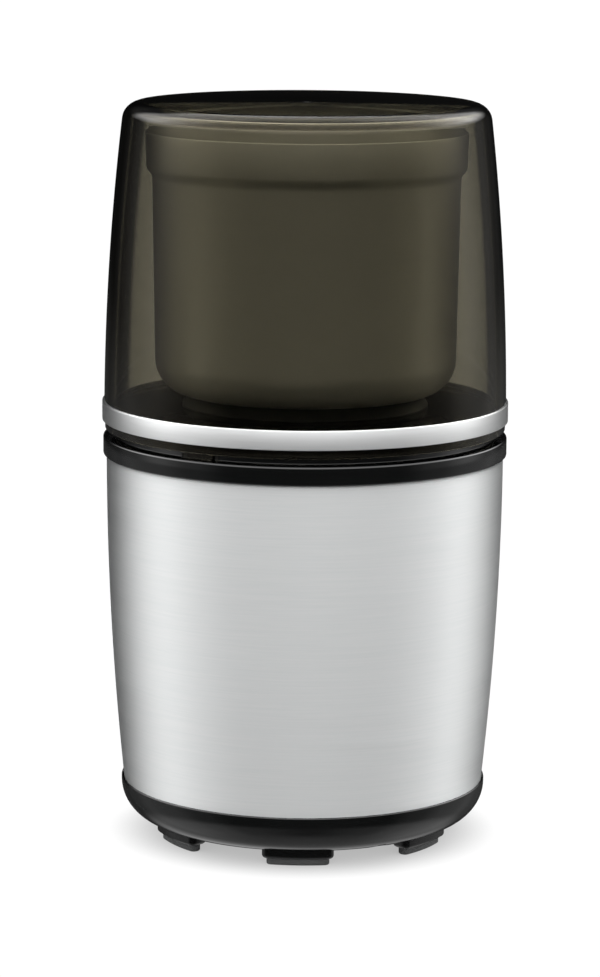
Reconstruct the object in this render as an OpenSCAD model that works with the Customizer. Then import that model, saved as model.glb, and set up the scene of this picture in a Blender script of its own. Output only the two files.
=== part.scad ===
// Electric spice grinder with a push-down lid and a lift-out steel bowl.
// Millimetres. The origin is on the table under the centre, +Z is up and the front faces -Y.

/* [Feet and base dish] */
// Thickness of the rubber pads that stand on the table
pad_h = 1.9; // [1.5:0.1:2.4]
// Width of a rubber pad along the rim of the base
pad_w = 17.2; // [14:0.2:18]
// Depth of a rubber pad towards the centre of the base
pad_d = 3.2; // [3:0.2:5]
// How far the foot boss stands past its pad on every side
boss_edge = 1.3; // [1:0.1:1.5]
// Height of the dish floor above the table
foot_h = 4.2; // [3.8:0.1:5.5]
// Height of the base dish from its floor to its rim
dish_h = 11.1; // [11:0.1:14]
// Wall thickness of the base dish
dish_wall = 2.4; // [2:0.1:2.8]
// Radius of the rounded lower edge of the dish
dish_edge_r = 10; // [9:0.5:10.5]
// Thickness of the lip that hides the lower edge of the steel
dish_lip = 0.55; // [0.4:0.05:0.8]

/* [Steel sleeve and collar] */
// Radius of the steel sleeve at its widest, under the collar
belly_r = 53.3; // [53:0.1:56]
// Visible height of the steel sleeve
body_h = 88.7; // [85:0.1:105]
// Radius of the long arc that draws the sleeve in towards the base
sleeve_bow = 860; // [780:10:1400]
// Sheet thickness of the steel sleeve
sleeve_wall = 0.8; // [0.5:0.1:1]
// Height of the black collar above the steel
collar_h = 5.1; // [5.1:0.1:8]
// How far the collar stands proud of the steel
collar_proud = 0.9; // [0.7:0.1:1.4]
// Height of the deck above the rim of the collar
deck_rise = 8.6; // [8:0.1:11]
// Wall thickness of the deck
deck_t = 2.8; // [2.2:0.1:3]

/* [Lid] */
// Travel of the lid when it is pressed down to start the motor
press_travel = 1.5; // [1:0.1:1.6]
// Gap that is left between lid and collar at the bottom of the travel
stop_gap = 0.3; // [0.3:0.1:0.6]
// Wall thickness of the lid
lid_wall = 2.5; // [2:0.1:2.8]
// Thickness of the lid's roof
lid_roof = 2.5; // [2:0.1:3.5]
// Radius of the long arc that draws the lid in towards its top
lid_bow = 709; // [680:10:1100]
// Radius of the rounded shoulder of the lid
shoulder_r = 4.6; // [3.5:0.1:5]
// Space between the rim of the bowl and the roof of the lid
head_room = 5; // [4:0.1:9]
// Height of the silver band
band_h = 5.15; // [4:0.05:6]
// Height of the skirt below the silver band
band_rise = 2.4; // [2:0.1:3.4]
// Thickness of the silver band
band_t = 0.95; // [0.8:0.05:1.3]
// Width of a locating tab on the lid's lip
tab_w = 9.5; // [7:0.5:11]
// Thickness of a locating tab
tab_t = 1.4; // [1:0.1:1.5]

/* [Bowl] */
// Height of the steel bowl
bowl_h = 69.8; // [60:0.2:75]
// Gap between the rim of the bowl and the wall of the lid
bowl_gap = 4; // [3:0.1:6]
// How much narrower the wall is at the bottom of the bowl
bowl_taper = 0.9; // [0.4:0.1:1.6]
// How far the rim stands out at the step
bowl_step = 1.6; // [1.2:0.1:1.9]
// Height of the wide rim above the step
rim_h = 12.5; // [9:0.5:18]
// Radius of the bowl's bottom corner
bowl_corner = 9; // [7:0.5:10]
// Sheet thickness of the bowl
bowl_wall = 0.7; // [0.5:0.1:0.9]
// How far the plastic foot stands in from the wall of the bowl
foot_inset = 8.1; // [7:0.1:9.5]
// Depth of the seat in the deck that takes the foot
seat_depth = 5.5; // [5.2:0.1:6.5]
// Height of the bowl above the deck
bowl_rise = 3; // [2.5:0.1:4]
// Gap between the tips of the blade and the wall of the bowl
tip_gap = 6.5; // [5:0.5:11]
// Thickness of the blade
blade_t = 1.5; // [1.2:0.1:2]
// Tilt of the wing that points down
blade_drop = 7; // [4:0.5:8]
// Tilt of the wing that points up
blade_rise = 14; // [8:1:16]

/* [Motor] */
// Radius of the motor shaft and of the blade shaft
shaft_r = 3; // [2.5:0.1:3.2]
// Radius of the armature's laminations
core_r = 16.5; // [15.5:0.1:16.8]
// Height of the laminations
core_h = 25; // [20:0.5:27]
// Gap between armature and stator
air_gap = 0.6; // [0.4:0.1:0.8]
// Width of the stator across the poles
stator_x = 58; // [56:0.5:60]
// Width of the stator between the poles
stator_y = 48; // [47.5:0.5:50]
// Section of the field coils
coil_w = 5.5; // [4.5:0.1:5.8]
// Radius of the commutator
comm_r = 11; // [9.5:0.1:11.5]
// Height of the commutator
comm_h = 11; // [10:0.5:12]
// Radius of the cooling fan
fan_r = 23; // [18:0.5:24]
// Height of the cooling fan
fan_h = 7.5; // [6:0.5:8]
// Radius of the two-part drive coupling
coupling_r = 8.2; // [7.6:0.1:8.6]
// Radius of the bore in the cord gland
cord_r = 3.2; // [2.6:0.1:3.3]

/* [Hidden] */
$fn = 64;

// Clearances: a running fit, a pressed fit, a loose fit between moving neighbours, a hand fit
run = 0.05;
snug = 0.02;
loose = 0.35;
hand = 0.45;
// Overshoot that lets a cut leave its solid cleanly
eps = 0.5;

// Levels of the body, from the table up
dish_rim_z = foot_h + dish_h;
collar_z = dish_rim_z + body_h;
rim_z = collar_z + collar_h;
deck_z = rim_z + deck_rise;
seat_z = deck_z - seat_depth;
seat_under_z = seat_z - deck_t;
dish_floor_z = foot_h + dish_wall;
sleeve_lap = 0.5;
sleeve_hem = 2.6;
sleeve_top_z = collar_z + sleeve_lap;
sleeve_low_z = dish_rim_z - sleeve_hem;

// Levels of the bowl and the lid
bowl_z = deck_z + bowl_rise;
bowl_rim_z = bowl_z + bowl_h;
bowl_floor_z = bowl_z + bowl_wall;
step_z = bowl_rim_z - rim_h;
lip_z = rim_z + press_travel + stop_gap;
roof_z = bowl_rim_z + head_room;
lid_top_z = roof_z + lid_roof;
band_z = lip_z + band_rise;

// Radii of the collar, the lid and the deck drum inside it
collar_r = belly_r + collar_proud;
lid_r = collar_r - 0.25;
lid_in_r = lid_r - lid_wall;
drum_r = lid_in_r - hand;
drum_wall = 2.5;
spigot_wall = 2.2;
spigot_h = 9;
rib_t = 1.5;
band_seat = 0.45;

// Outer radius of the sleeve and of the lid at a height, both on long arcs
function arc_r(r, bow, dz) = r - bow + sqrt(bow * bow - dz * dz);
function sleeve_r(z) = arc_r(belly_r, sleeve_bow, collar_z - z);
function lid_out_r(z) = arc_r(lid_r, lid_bow, z - lip_z);
function steps(a, b, n) = [for (i = [0:n]) a + (b - a) * i / n];
function flip(p) = [for (i = [len(p) - 1:-1:0]) p[i]];
function quarter(c, r, a, b, n = 8) = [for (t = steps(a, b, n)) [c[0] + r * cos(t), c[1] + r * sin(t)]];

// Bowl and its foot, which follow the wall of the lid
rim_flare = 0.3;
bowl_rim_r = lid_out_r(bowl_rim_z) - lid_wall - bowl_gap;
bowl_r = bowl_rim_r - rim_flare - bowl_step;
foot_r = bowl_r - foot_inset;
seat_r = foot_r + loose;
rib_r = bowl_rim_r + hand + 0.15;
key_angles = [30, 150, 270];
key_reach = 2.2;
key_w = 6;

// Blade
blade_reach = bowl_r - bowl_taper - bowl_wall - tip_gap;
blade_root = 8;

// Base dish, seen in section
dish_r = sleeve_r(dish_rim_z) + 0.1 + dish_lip;
dish_flat_r = dish_r - dish_edge_r;
sleeve_in_low_r = sleeve_r(sleeve_low_z) - sleeve_wall;

// Feet, fasteners and plungers round the axis
foot_spread = 57;
foot_angles = [for (a = [-90, 90], s = [-1, 0, 1]) a + s * foot_spread];
pillar_angles = [0, 120, 180, 300];
plunger_angles = [60, 240];
isolator_angles = [45, 135, 225, 315];
pad_out_r = dish_flat_r + 2.1 - boss_edge;
peg_mid_r = pad_out_r - pad_d / 2;
peg_r = 1.1;
peg_turn = asin(pad_w / 4 / peg_mid_r);
pillar_r = 3.5;
pillar_mid_r = seat_r + deck_t + pillar_r + hand;
pillar_z = dish_rim_z + 1;
stud_r = 1.6;
stud_h = 1.8;
base_screw_r = 1.7;
base_screw_len = 22;
base_head_r = 3.2;
base_head_h = 2.4;
well_depth = 6;

// Plungers that the lid's tabs press
tab_in_r = lid_in_r + 0.15;
tab_out_r = tab_in_r + tab_t;
tab_z = rim_z - 1.1;
plate_t = 1.6;
plate_d = 7.2;
plate_w = tab_w - 0.5;
plunger_r = tab_out_r - 4.8;
pin_r = 1.5;
pin_low_z = tab_z - 16;
chamber_z = tab_z - plate_t - press_travel - 0.3;
guide_r = 4.1;
guide_z = pin_low_z + 2.5;
spring_seat_z = tab_z - 10.4;
spring_r = 2.4;
spring_wire = 0.5;
switch_w = 20;
switch_h = 14;
switch_d = 6.8;
switch_top_z = pin_low_z - 2;
switch_mid_r = plunger_r - 1.4;
switch_wall_t = 2.6;
switch_wall_r = switch_mid_r - switch_d / 2 - switch_wall_t;
switch_screw_r = 1.1;
switch_screw_y = 6;
switch_head_r = 2;
switch_head_h = 1.1;
tag_y = 7;
tag_h = 6;

// Motor, hung under the seat by four posts
post_h = 12.4;
post_mid_r = foot_r - 4;
post_r = 4.4;
flange_t = 2;
bracket_t = 3;
bracket_w = 20;
arm_w = 10;
upper_leg = 10;
lower_leg = 23;
leg_t = 5.4;
bolt_r = 1.6;
isolator_r = 4.6;
neck_r = 3.4;
post_screw_r = 1.5;
post_head_r = 3.4;
post_head_h = 1.8;
post_grip = 7;
bolt_head_r = 3;
bolt_head_h = 2;
nut_h = 2.4;
post_z = seat_under_z - post_h;
bracket_top_z = post_z - flange_t;
bracket_z = bracket_top_z - bracket_t;
stator_top_z = bracket_z - upper_leg;
stator_z = stator_top_z - core_h;
low_bracket_top_z = stator_z - lower_leg;
low_bracket_z = low_bracket_top_z - bracket_t;
stator_bore_r = core_r + air_gap;
bolt_y = (stator_y / 2 + stator_bore_r) / 2;
bearing_r = 6;
bearing_h = 6;
boss_r = 8.5;
winding_r = core_r - 2.5;
winding_h = 5;
slot_x = winding_r + 0.75;
slot_y = 12.6;
comm_z = stator_z - winding_h - 1.5 - comm_h;
brush_w = 5;
brush_h = 6.5;
brush_len = 9;
brush_case = 1;
brush_z = comm_z + comm_h / 2;
brush_out = 27;
fan_z = low_bracket_top_z - 1.5 - bearing_h - 0.7 - fan_h;

// Drive through the seat
hole_r = coupling_r + 1.3;
drip_h = 2.5;
drip_t = 2;
dog_disc = 2.7;
dog_h = 4.5;
dog_span = 50;
dog_z = seat_z - 1.4;
coupling_disc_z = dog_z - dog_h - 0.3 - 3;
housing_r = 8;
housing_low_z = dog_z + dog_disc + 1;
flange_r = 11;
housing_flange = 2.6;
housing_top_z = bowl_floor_z + housing_flange;
seal_h = 1.9;
washer_z = housing_top_z + 1.3;
washer_h = 1.5;
blade_z = washer_z + washer_h;
nut_z = blade_z + blade_t;
nut_r = 5;
thread_r = shaft_r - 0.5;
bush_r = 5.5;
bush_top_z = housing_top_z - 1;

// Cord gland in the rear of the dish
gland_z = foot_h + dish_h / 2 + 0.2;
gland_boss = cord_r + 1.8;
gland_neck = cord_r + 0.6;
gland_corner = 1.8;
gland_lip_r = cord_r + 1.8;
gland_lip = 1.6;
gland_y = dish_r + 0.1;
gland_in_y = gland_y - 7.6;

// Terminal block on the floor of the dish
terminal_y = dish_flat_r - 10;
terminal_h = 9;

// ---------------------------------------------------------------- shared shapes

module at(a, r = 0, z = 0) {
    rotate([0, 0, a]) translate([r, 0, z]) children();
}

module disc(r, z0, z1) {
    translate([0, 0, z0]) cylinder(r = r, h = z1 - z0);
}

module ring(r_out, r_in, z0, z1) {
    difference() {
        disc(r_out, z0, z1);
        disc(r_in, z0 - eps, z1 + eps);
    }
}

module block(x0, x1, y0, y1, z0, z1) {
    translate([x0, y0, z0]) cube([x1 - x0, y1 - y0, z1 - z0]);
}

module rounded_rect(x, y, r) {
    square([x - 2 * r, y], center = true);
    square([x, y - 2 * r], center = true);
    for (sx = [-1, 1], sy = [-1, 1]) translate([sx * (x / 2 - r), sy * (y / 2 - r)]) circle(r);
}

module rounded_block(x, y, r, z0, z1) {
    translate([0, 0, z0]) linear_extrude(z1 - z0) rounded_rect(x, y, r);
}

// Bar that follows the rim round the axis, centred on +X and as large as a pad grown by edge on every side
module rim_bar(edge, corner, z0, z1) {
    r1 = pad_out_r + edge;
    r0 = r1 - pad_d - 2 * edge;
    half = asin((pad_w / 2 + edge) / r1);
    out_a = half - asin(corner / (r1 - corner));
    in_a = half - asin(corner / (r0 + corner));
    end = concat(
        quarter((r1 - corner) * [cos(out_a), sin(out_a)], corner, out_a, half + 90, 4),
        quarter((r0 + corner) * [cos(in_a), sin(in_a)], corner, half + 90.5, in_a + 180, 4));
    other_end = [for (p = flip(end)) [p[0], -p[1]]];
    translate([0, 0, z0]) linear_extrude(z1 - z0) polygon(concat(
        end, quarter([0, 0], r0, in_a - 3, 3 - in_a, 4),
        other_end, quarter([0, 0], r1, 3 - out_a, out_a - 3, 6)));
}

// A screw that points up, its head under z
module screw(z, head_r, head_h, r, len) {
    arm = head_r * 0.6;
    difference() {
        disc(head_r, z - head_h, z);
        for (a = [0, 90]) rotate([0, 0, a]) block(-arm, arm, -0.4, 0.4, z - head_h - eps, z - head_h * 0.45);
    }
    disc(r, z - head_h / 2, z + len);
}

// Helical wire from z0 to z1
module coil_spring(r, wire, z0, z1, turns) {
    sides = 6;
    per_turn = 12;
    n = turns * per_turn;
    half = wire / 2;
    pts = [for (i = [0:n], k = [0:sides - 1])
        let (a = 360 * i / per_turn, b = 360 * k / sides, q = r + half * cos(b))
        [q * cos(a), q * sin(a), z0 + half + (z1 - z0 - wire) * i / n + half * sin(b)]];
    walls = [for (i = [0:n - 1], k = [0:sides - 1])
        let (j = (k + 1) % sides)
        [i * sides + k, (i + 1) * sides + k, (i + 1) * sides + j, i * sides + j]];
    start = [for (k = [0:sides - 1]) k];
    end = [for (k = [sides - 1:-1:0]) n * sides + k];
    polyhedron(pts, concat([start], walls, [end]));
}

// Smooth curve through hand-set points
function curve_point(a, b, c, d, t) =
    0.5 * (2 * b + (c - a) * t + (2 * a - 5 * b + 4 * c - d) * t * t + (3 * b - a - 3 * c + d) * t * t * t);
function smooth(p, n = 5) = let (m = len(p) - 1) concat(
    [for (i = [0:m - 1], k = [0:n - 1])
        curve_point(p[max(i - 1, 0)], p[i], p[i + 1], p[min(i + 2, m)], k / n)],
    [p[m]]);
function unit(v) = v / norm(v);
function turned(v, s, t) = let (w = cross(s, t)) v + cross(w, v) + cross(w, cross(w, v)) / (1 + s * t);
function tangents(p) = let (m = len(p) - 1) [for (i = [0:m]) unit(p[min(i + 1, m)] - p[max(i - 1, 0)])];
function normals(t, i, v) = i == len(t) ? []
    : let (w = i == 0 ? v : turned(v, t[i - 1], t[i])) concat([w], normals(t, i + 1, w));

module lead(points, r) {
    sides = 8;
    p = smooth(points);
    t = tangents(p);
    side = normals(t, 0, unit(cross(t[0], [0.3, 1, 0.2])));
    m = len(p) - 1;
    pts = [for (i = [0:m], k = [0:sides - 1])
        let (u = side[i], v = cross(t[i], side[i]), a = 360 * k / sides)
        p[i] + r * (u * cos(a) + v * sin(a))];
    walls = [for (i = [0:m - 1], k = [0:sides - 1])
        let (j = (k + 1) % sides)
        [i * sides + k, (i + 1) * sides + k, (i + 1) * sides + j, i * sides + j]];
    start = [for (k = [0:sides - 1]) k];
    end = [for (k = [sides - 1:-1:0]) m * sides + k];
    polyhedron(pts, concat([start], walls, [end]));
}

// ---------------------------------------------------------------- lid

// Smoked clear shell, with an inner rib that closes over the bowl's rim
module lid_shell() {
    crown_r = lid_out_r(lid_top_z - shoulder_r);
    inner_corner = shoulder_r - 2;
    inner_crown_r = lid_out_r(roof_z - inner_corner) - lid_wall;
    low = band_z + band_h;
    outer = [for (z = steps(low, lid_top_z - shoulder_r, 14)) [lid_out_r(z), z]];
    inner = [for (z = steps(lip_z + 0.4, roof_z - inner_corner, 15)) [lid_out_r(z) - lid_wall, z]];
    section = concat(
        [[lid_in_r + 0.4, lip_z], [lid_r - 0.65, lip_z], [lid_r - 0.25, lip_z + 0.4]],
        [[lid_r - 0.25, band_z], [lid_r - band_seat, band_z], [lid_r - band_seat, low]],
        outer,
        quarter([crown_r - shoulder_r, lid_top_z - shoulder_r], shoulder_r, 10, 90),
        [[1.4, lid_top_z], [0.5, lid_top_z - 0.35], [0, lid_top_z - 0.35], [0, roof_z]],
        flip(quarter([inner_crown_r - inner_corner, roof_z - inner_corner], inner_corner, 10, 90, 5)),
        flip(inner));
    rib = [
        [rib_r, roof_z + eps], [rib_r, bowl_rim_z], [rib_r + 0.3, bowl_rim_z - 0.2],
        [rib_r + rib_t - 0.3, bowl_rim_z - 0.2], [rib_r + rib_t, bowl_rim_z], [rib_r + rib_t, roof_z + eps]];
    color([0.24, 0.22, 0.17, 0.6]) {
        rotate_extrude() polygon(section);
        rotate_extrude() polygon(rib);
        for (a = plunger_angles) rotate([0, 0, a]) intersection() {
            ring(tab_out_r, tab_in_r, tab_z, lip_z + 1);
            block(0, lid_r, -tab_w / 2, tab_w / 2, tab_z, lip_z + 1);
        }
    }
}

// Silver band pressed into its groove round the lid
module lid_band() {
    r_in = lid_r - band_seat + snug;
    r_out = r_in + band_t;
    cham = 0.2;
    low = band_z;
    high = band_z + band_h;
    color("silver") rotate_extrude() polygon([
        [r_in, low], [r_out - cham, low], [r_out, low + cham],
        [r_out, high - cham], [r_out - cham, high], [r_in, high]]);
}

// ---------------------------------------------------------------- bowl and blade

// Deep-drawn steel bowl with a stepped rim
module grinding_bowl() {
    low_r = bowl_r - bowl_taper;
    corner_z = bowl_z + bowl_corner;
    rim_r = bowl_r + bowl_step;
    hole_r = housing_r + run;
    outer = concat(
        quarter([low_r - bowl_corner, corner_z], bowl_corner, -90, 0),
        [[bowl_r, step_z - 2], [bowl_r + 0.4, step_z - 1], [rim_r - 0.3, step_z + 0.6]],
        [[rim_r, step_z + 1.6], [bowl_rim_r, bowl_rim_z]]);
    inner = concat(
        [[bowl_rim_r - bowl_wall, bowl_rim_z], [rim_r - bowl_wall, step_z + 1.6]],
        [[rim_r - 0.3 - bowl_wall, step_z + 0.8], [bowl_r + 0.4 - bowl_wall, step_z - 0.8]],
        [[bowl_r - bowl_wall, step_z - 1.8]],
        flip(quarter([low_r - bowl_corner, corner_z], bowl_corner - bowl_wall, -90, 0)));
    color("gainsboro") rotate_extrude()
        polygon(concat([[hole_r, bowl_z]], outer, inner, [[hole_r, bowl_floor_z]]));
}

// Black foot under the bowl, with three keys that drop into the deck
module bowl_foot() {
    top_r = bowl_r - bowl_taper - bowl_corner - 0.2;
    plate_z = bowl_z - 2.5;
    wall = 2.4;
    hub_z = seat_z + drip_h + 0.5;
    color([0.08, 0.08, 0.08]) {
        difference() {
            rotate_extrude() polygon([
                [foot_r - wall, seat_z], [foot_r, seat_z], [foot_r, deck_z], [top_r, bowl_z],
                [housing_r + snug, bowl_z], [housing_r + snug, hub_z], [housing_r + 3.6, hub_z],
                [housing_r + 3.6, plate_z], [foot_r - wall, plate_z]]);
            for (a = [0:60:300]) at(a + 30, 21) disc(4, plate_z - eps, plate_z + 1.2);
        }
        for (a = key_angles) rotate([0, 0, a]) intersection() {
            ring(foot_r + key_reach, foot_r - 1, seat_z, deck_z - 0.6);
            block(0, 2 * foot_r, -key_w / 2, key_w / 2, seat_z, deck_z);
        }
    }
}

// Turned housing that clamps the bowl to its foot and holds the bush
module bearing_housing() {
    inner_r = bush_r + snug;
    color("darkgray") rotate_extrude() polygon([
        [shaft_r + 0.6, housing_low_z], [housing_r, housing_low_z], [housing_r, bowl_floor_z],
        [flange_r, bowl_floor_z], [flange_r, housing_top_z - 0.8], [flange_r - 0.8, housing_top_z],
        [inner_r, housing_top_z], [inner_r, housing_low_z + 1], [shaft_r + 0.6, housing_low_z + 1]]);
}

// Sintered bronze bush in the housing
module bowl_bush() {
    color("peru") ring(bush_r, shaft_r + run, housing_low_z + 1, bush_top_z);
}

// Rubber lip seal that keeps ground spice out of the bush
module shaft_seal() {
    color("dimgray") rotate_extrude() polygon([
        [shaft_r + run, bush_top_z], [bush_r, bush_top_z], [bush_r, bush_top_z + seal_h * 0.6],
        [shaft_r + 0.9, bush_top_z + seal_h], [shaft_r + run, bush_top_z + seal_h]]);
}

// Ground steel spindle, with a threaded end for the nut
module blade_shaft() {
    color("lightgray") {
        disc(shaft_r, dog_z, nut_z - 0.2);
        disc(thread_r, dog_z + 1, nut_z + 4);
    }
}

// Stamped washer under the blade
module blade_washer() {
    color("lightgray") ring(6.5, shaft_r + snug, washer_z, blade_z);
}

// One wing, tilted down from its root on the hub plate
module wing(tilt) {
    len = blade_reach - blade_root;
    rotate([0, tilt, 0]) linear_extrude(blade_t) polygon([
        [-0.5, -5.5], [len * 0.35, -6], [len * 0.7, -6.3], [len - 1, -2.5], [len - 0.4, 0.5],
        [len - 2, 3.2], [len * 0.6, 5], [-0.5, 5.5]]);
}

// Stamped two-winged blade: one wing points up and the other down
module blade() {
    color("silver") difference() {
        union() {
            translate([0, 0, blade_z]) linear_extrude(blade_t) rounded_rect(2 * blade_root + 2, 11, 3);
            translate([blade_root, 0, blade_z + blade_t]) mirror([0, 0, 1]) wing(blade_rise);
            translate([-blade_root, 0, blade_z]) rotate([0, 0, 180]) wing(blade_drop);
        }
        disc(shaft_r + snug, blade_z - 9, blade_z + 9);
    }
}

// Domed nut over the blade
module blade_nut() {
    dome = 5.6;
    color("silver") difference() {
        union() {
            translate([0, 0, nut_z]) cylinder(r = nut_r, h = dome - 2, $fn = 6);
            disc(nut_r - 1.2, nut_z + dome - 2, nut_z + dome - 1);
            translate([0, 0, nut_z + dome - 1]) cylinder(r1 = nut_r - 1.2, r2 = nut_r - 3, h = 1);
        }
        disc(thread_r + snug, nut_z - eps, nut_z + 4.2);
        disc(shaft_r + snug, nut_z - eps, nut_z + 0.01);
    }
}

// Three claws of a coupling half, from z0 to z1, turned by a
module claws(a, z0, z1) {
    for (i = [0:2]) rotate([0, 0, a + 120 * i]) intersection() {
        ring(coupling_r - 0.4, shaft_r + 0.8, z0, z1);
        linear_extrude(z1 + eps) polygon([
            [0, 0], [20 * cos(dog_span / 2), -20 * sin(dog_span / 2)], [20, 0],
            [20 * cos(dog_span / 2), 20 * sin(dog_span / 2)]]);
    }
}

// Upper half of the drive coupling, on the blade's shaft
module drive_dog() {
    color([0.1, 0.1, 0.1]) {
        ring(coupling_r, shaft_r + snug, dog_z, dog_z + dog_disc);
        claws(0, dog_z - dog_h, dog_z + 0.5);
    }
}

// ---------------------------------------------------------------- body

// Collar, deck and seat in one moulding, with the guides of the plungers and the walls of their switches
module top_housing() {
    spigot_r = sleeve_r(collar_z - spigot_h) - sleeve_wall - 0.2;
    lip_in_r = belly_r + 0.12;
    under_z = deck_z - deck_t;
    drum_in_r = drum_r - drum_wall;
    spigot_low_z = collar_z - spigot_h;
    key_half = key_w / 2 + loose;
    plate_half = plate_w / 2 + loose;
    section = [
        [lip_in_r, collar_z], [collar_r - 0.35, collar_z], [collar_r, collar_z + 0.7],
        [collar_r, rim_z - 0.8], [collar_r - 0.2, rim_z - 0.2], [collar_r - 0.5, rim_z],
        [drum_r, rim_z], [drum_r, deck_z - 0.8], [drum_r - 0.8, deck_z],
        [seat_r + 0.7, deck_z], [seat_r, deck_z - 0.7], [seat_r, seat_z],
        [hole_r + drip_t, seat_z], [hole_r + drip_t, seat_z + drip_h - 0.4],
        [hole_r + drip_t - 0.4, seat_z + drip_h], [hole_r, seat_z + drip_h],
        [hole_r, seat_under_z], [seat_r + deck_t, seat_under_z],
        [seat_r + deck_t, under_z], [drum_in_r, under_z], [drum_in_r, rim_z - 3],
        [spigot_r - spigot_wall, rim_z - 4.6], [spigot_r - spigot_wall, spigot_low_z],
        [spigot_r, spigot_low_z], [spigot_r, sleeve_top_z], [lip_in_r, sleeve_top_z]];
    color([0.07, 0.07, 0.07]) difference() {
        union() {
            rotate_extrude() polygon(section);
            intersection() {
                disc(spigot_r, guide_z, tab_z);
                for (a = plunger_angles) at(a, plunger_r) disc(guide_r, guide_z, tab_z);
            }
            for (a = plunger_angles) rotate([0, 0, a])
                block(switch_wall_r, switch_wall_r + switch_wall_t, -switch_w / 2, switch_w / 2,
                    switch_top_z - switch_h, under_z + 0.5);
            for (a = plunger_angles) rotate([0, 0, a])
                block(switch_wall_r, spigot_r - 1, -2, 2, guide_z + 2, tab_z - 3);
        }
        for (a = key_angles) rotate([0, 0, a])
            block(foot_r - 2, foot_r + key_reach + loose, -key_half, key_half, seat_z, deck_z + eps);
        for (a = pillar_angles) at(a, pillar_mid_r) disc(stud_r + run, under_z - eps, under_z + stud_h + 0.2);
        for (a = isolator_angles) at(a, post_mid_r)
            disc(stud_r + run, seat_under_z - eps, seat_under_z + stud_h + 0.2);
        for (a = plunger_angles) rotate([0, 0, a]) {
            block(plunger_r - 2.6, tab_out_r + 0.15, -plate_half, plate_half, chamber_z, tab_z);
            intersection() {
                ring(tab_out_r + loose, tab_in_r - loose, chamber_z, rim_z + eps);
                block(0, collar_r, -tab_w / 2 - loose, tab_w / 2 + loose, chamber_z, rim_z + eps);
            }
            translate([plunger_r, 0, 0]) disc(spring_r + spring_wire + 0.3, spring_seat_z, tab_z - 1);
            translate([plunger_r, 0, 0]) disc(pin_r + run, guide_z - eps, tab_z - 1);
            for (s = [-1, 1])
                translate([switch_wall_r - eps, s * switch_screw_y, switch_top_z - switch_h / 2])
                    rotate([0, 90, 0]) cylinder(r = switch_screw_r + run, h = switch_wall_t + 2 * eps);
        }
    }
}

// Turned pillar from z0 to z1, tapped from below, with a stud that goes into the moulding above
module pillar(r, z0, z1, bore_r, depth) {
    color("darkgray") difference() {
        union() {
            disc(r, z0, z1);
            disc(stud_r, z1 - eps, z1 + stud_h);
        }
        disc(bore_r, z0 - eps, z0 + depth);
    }
}

// Four long pillars between deck and dish
module support_pillars() {
    for (a = pillar_angles) at(a, pillar_mid_r)
        pillar(pillar_r, pillar_z, deck_z - deck_t, base_screw_r + run, base_screw_len);
}

// Four short posts that the motor hangs from
module motor_posts() {
    for (a = isolator_angles) at(a, post_mid_r)
        pillar(post_r, post_z, seat_under_z, post_screw_r + run, post_grip + 1);
}

// Brushed steel sleeve between collar and dish, with a notch in its hem over the cord gland
module steel_sleeve() {
    levels = steps(sleeve_low_z, sleeve_top_z, 16);
    top_r = belly_r;
    notch = gland_boss + 0.3;
    color([0.78, 0.78, 0.78]) difference() {
        rotate_extrude() polygon(concat(
            [for (z = levels) [min(sleeve_r(z), top_r), z]],
            flip([for (z = levels) [min(sleeve_r(z), top_r) - sleeve_wall, z]])));
        block(-notch, notch, 0, 2 * belly_r, sleeve_low_z - eps, gland_z + gland_boss + 0.2);
    }
}

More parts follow.
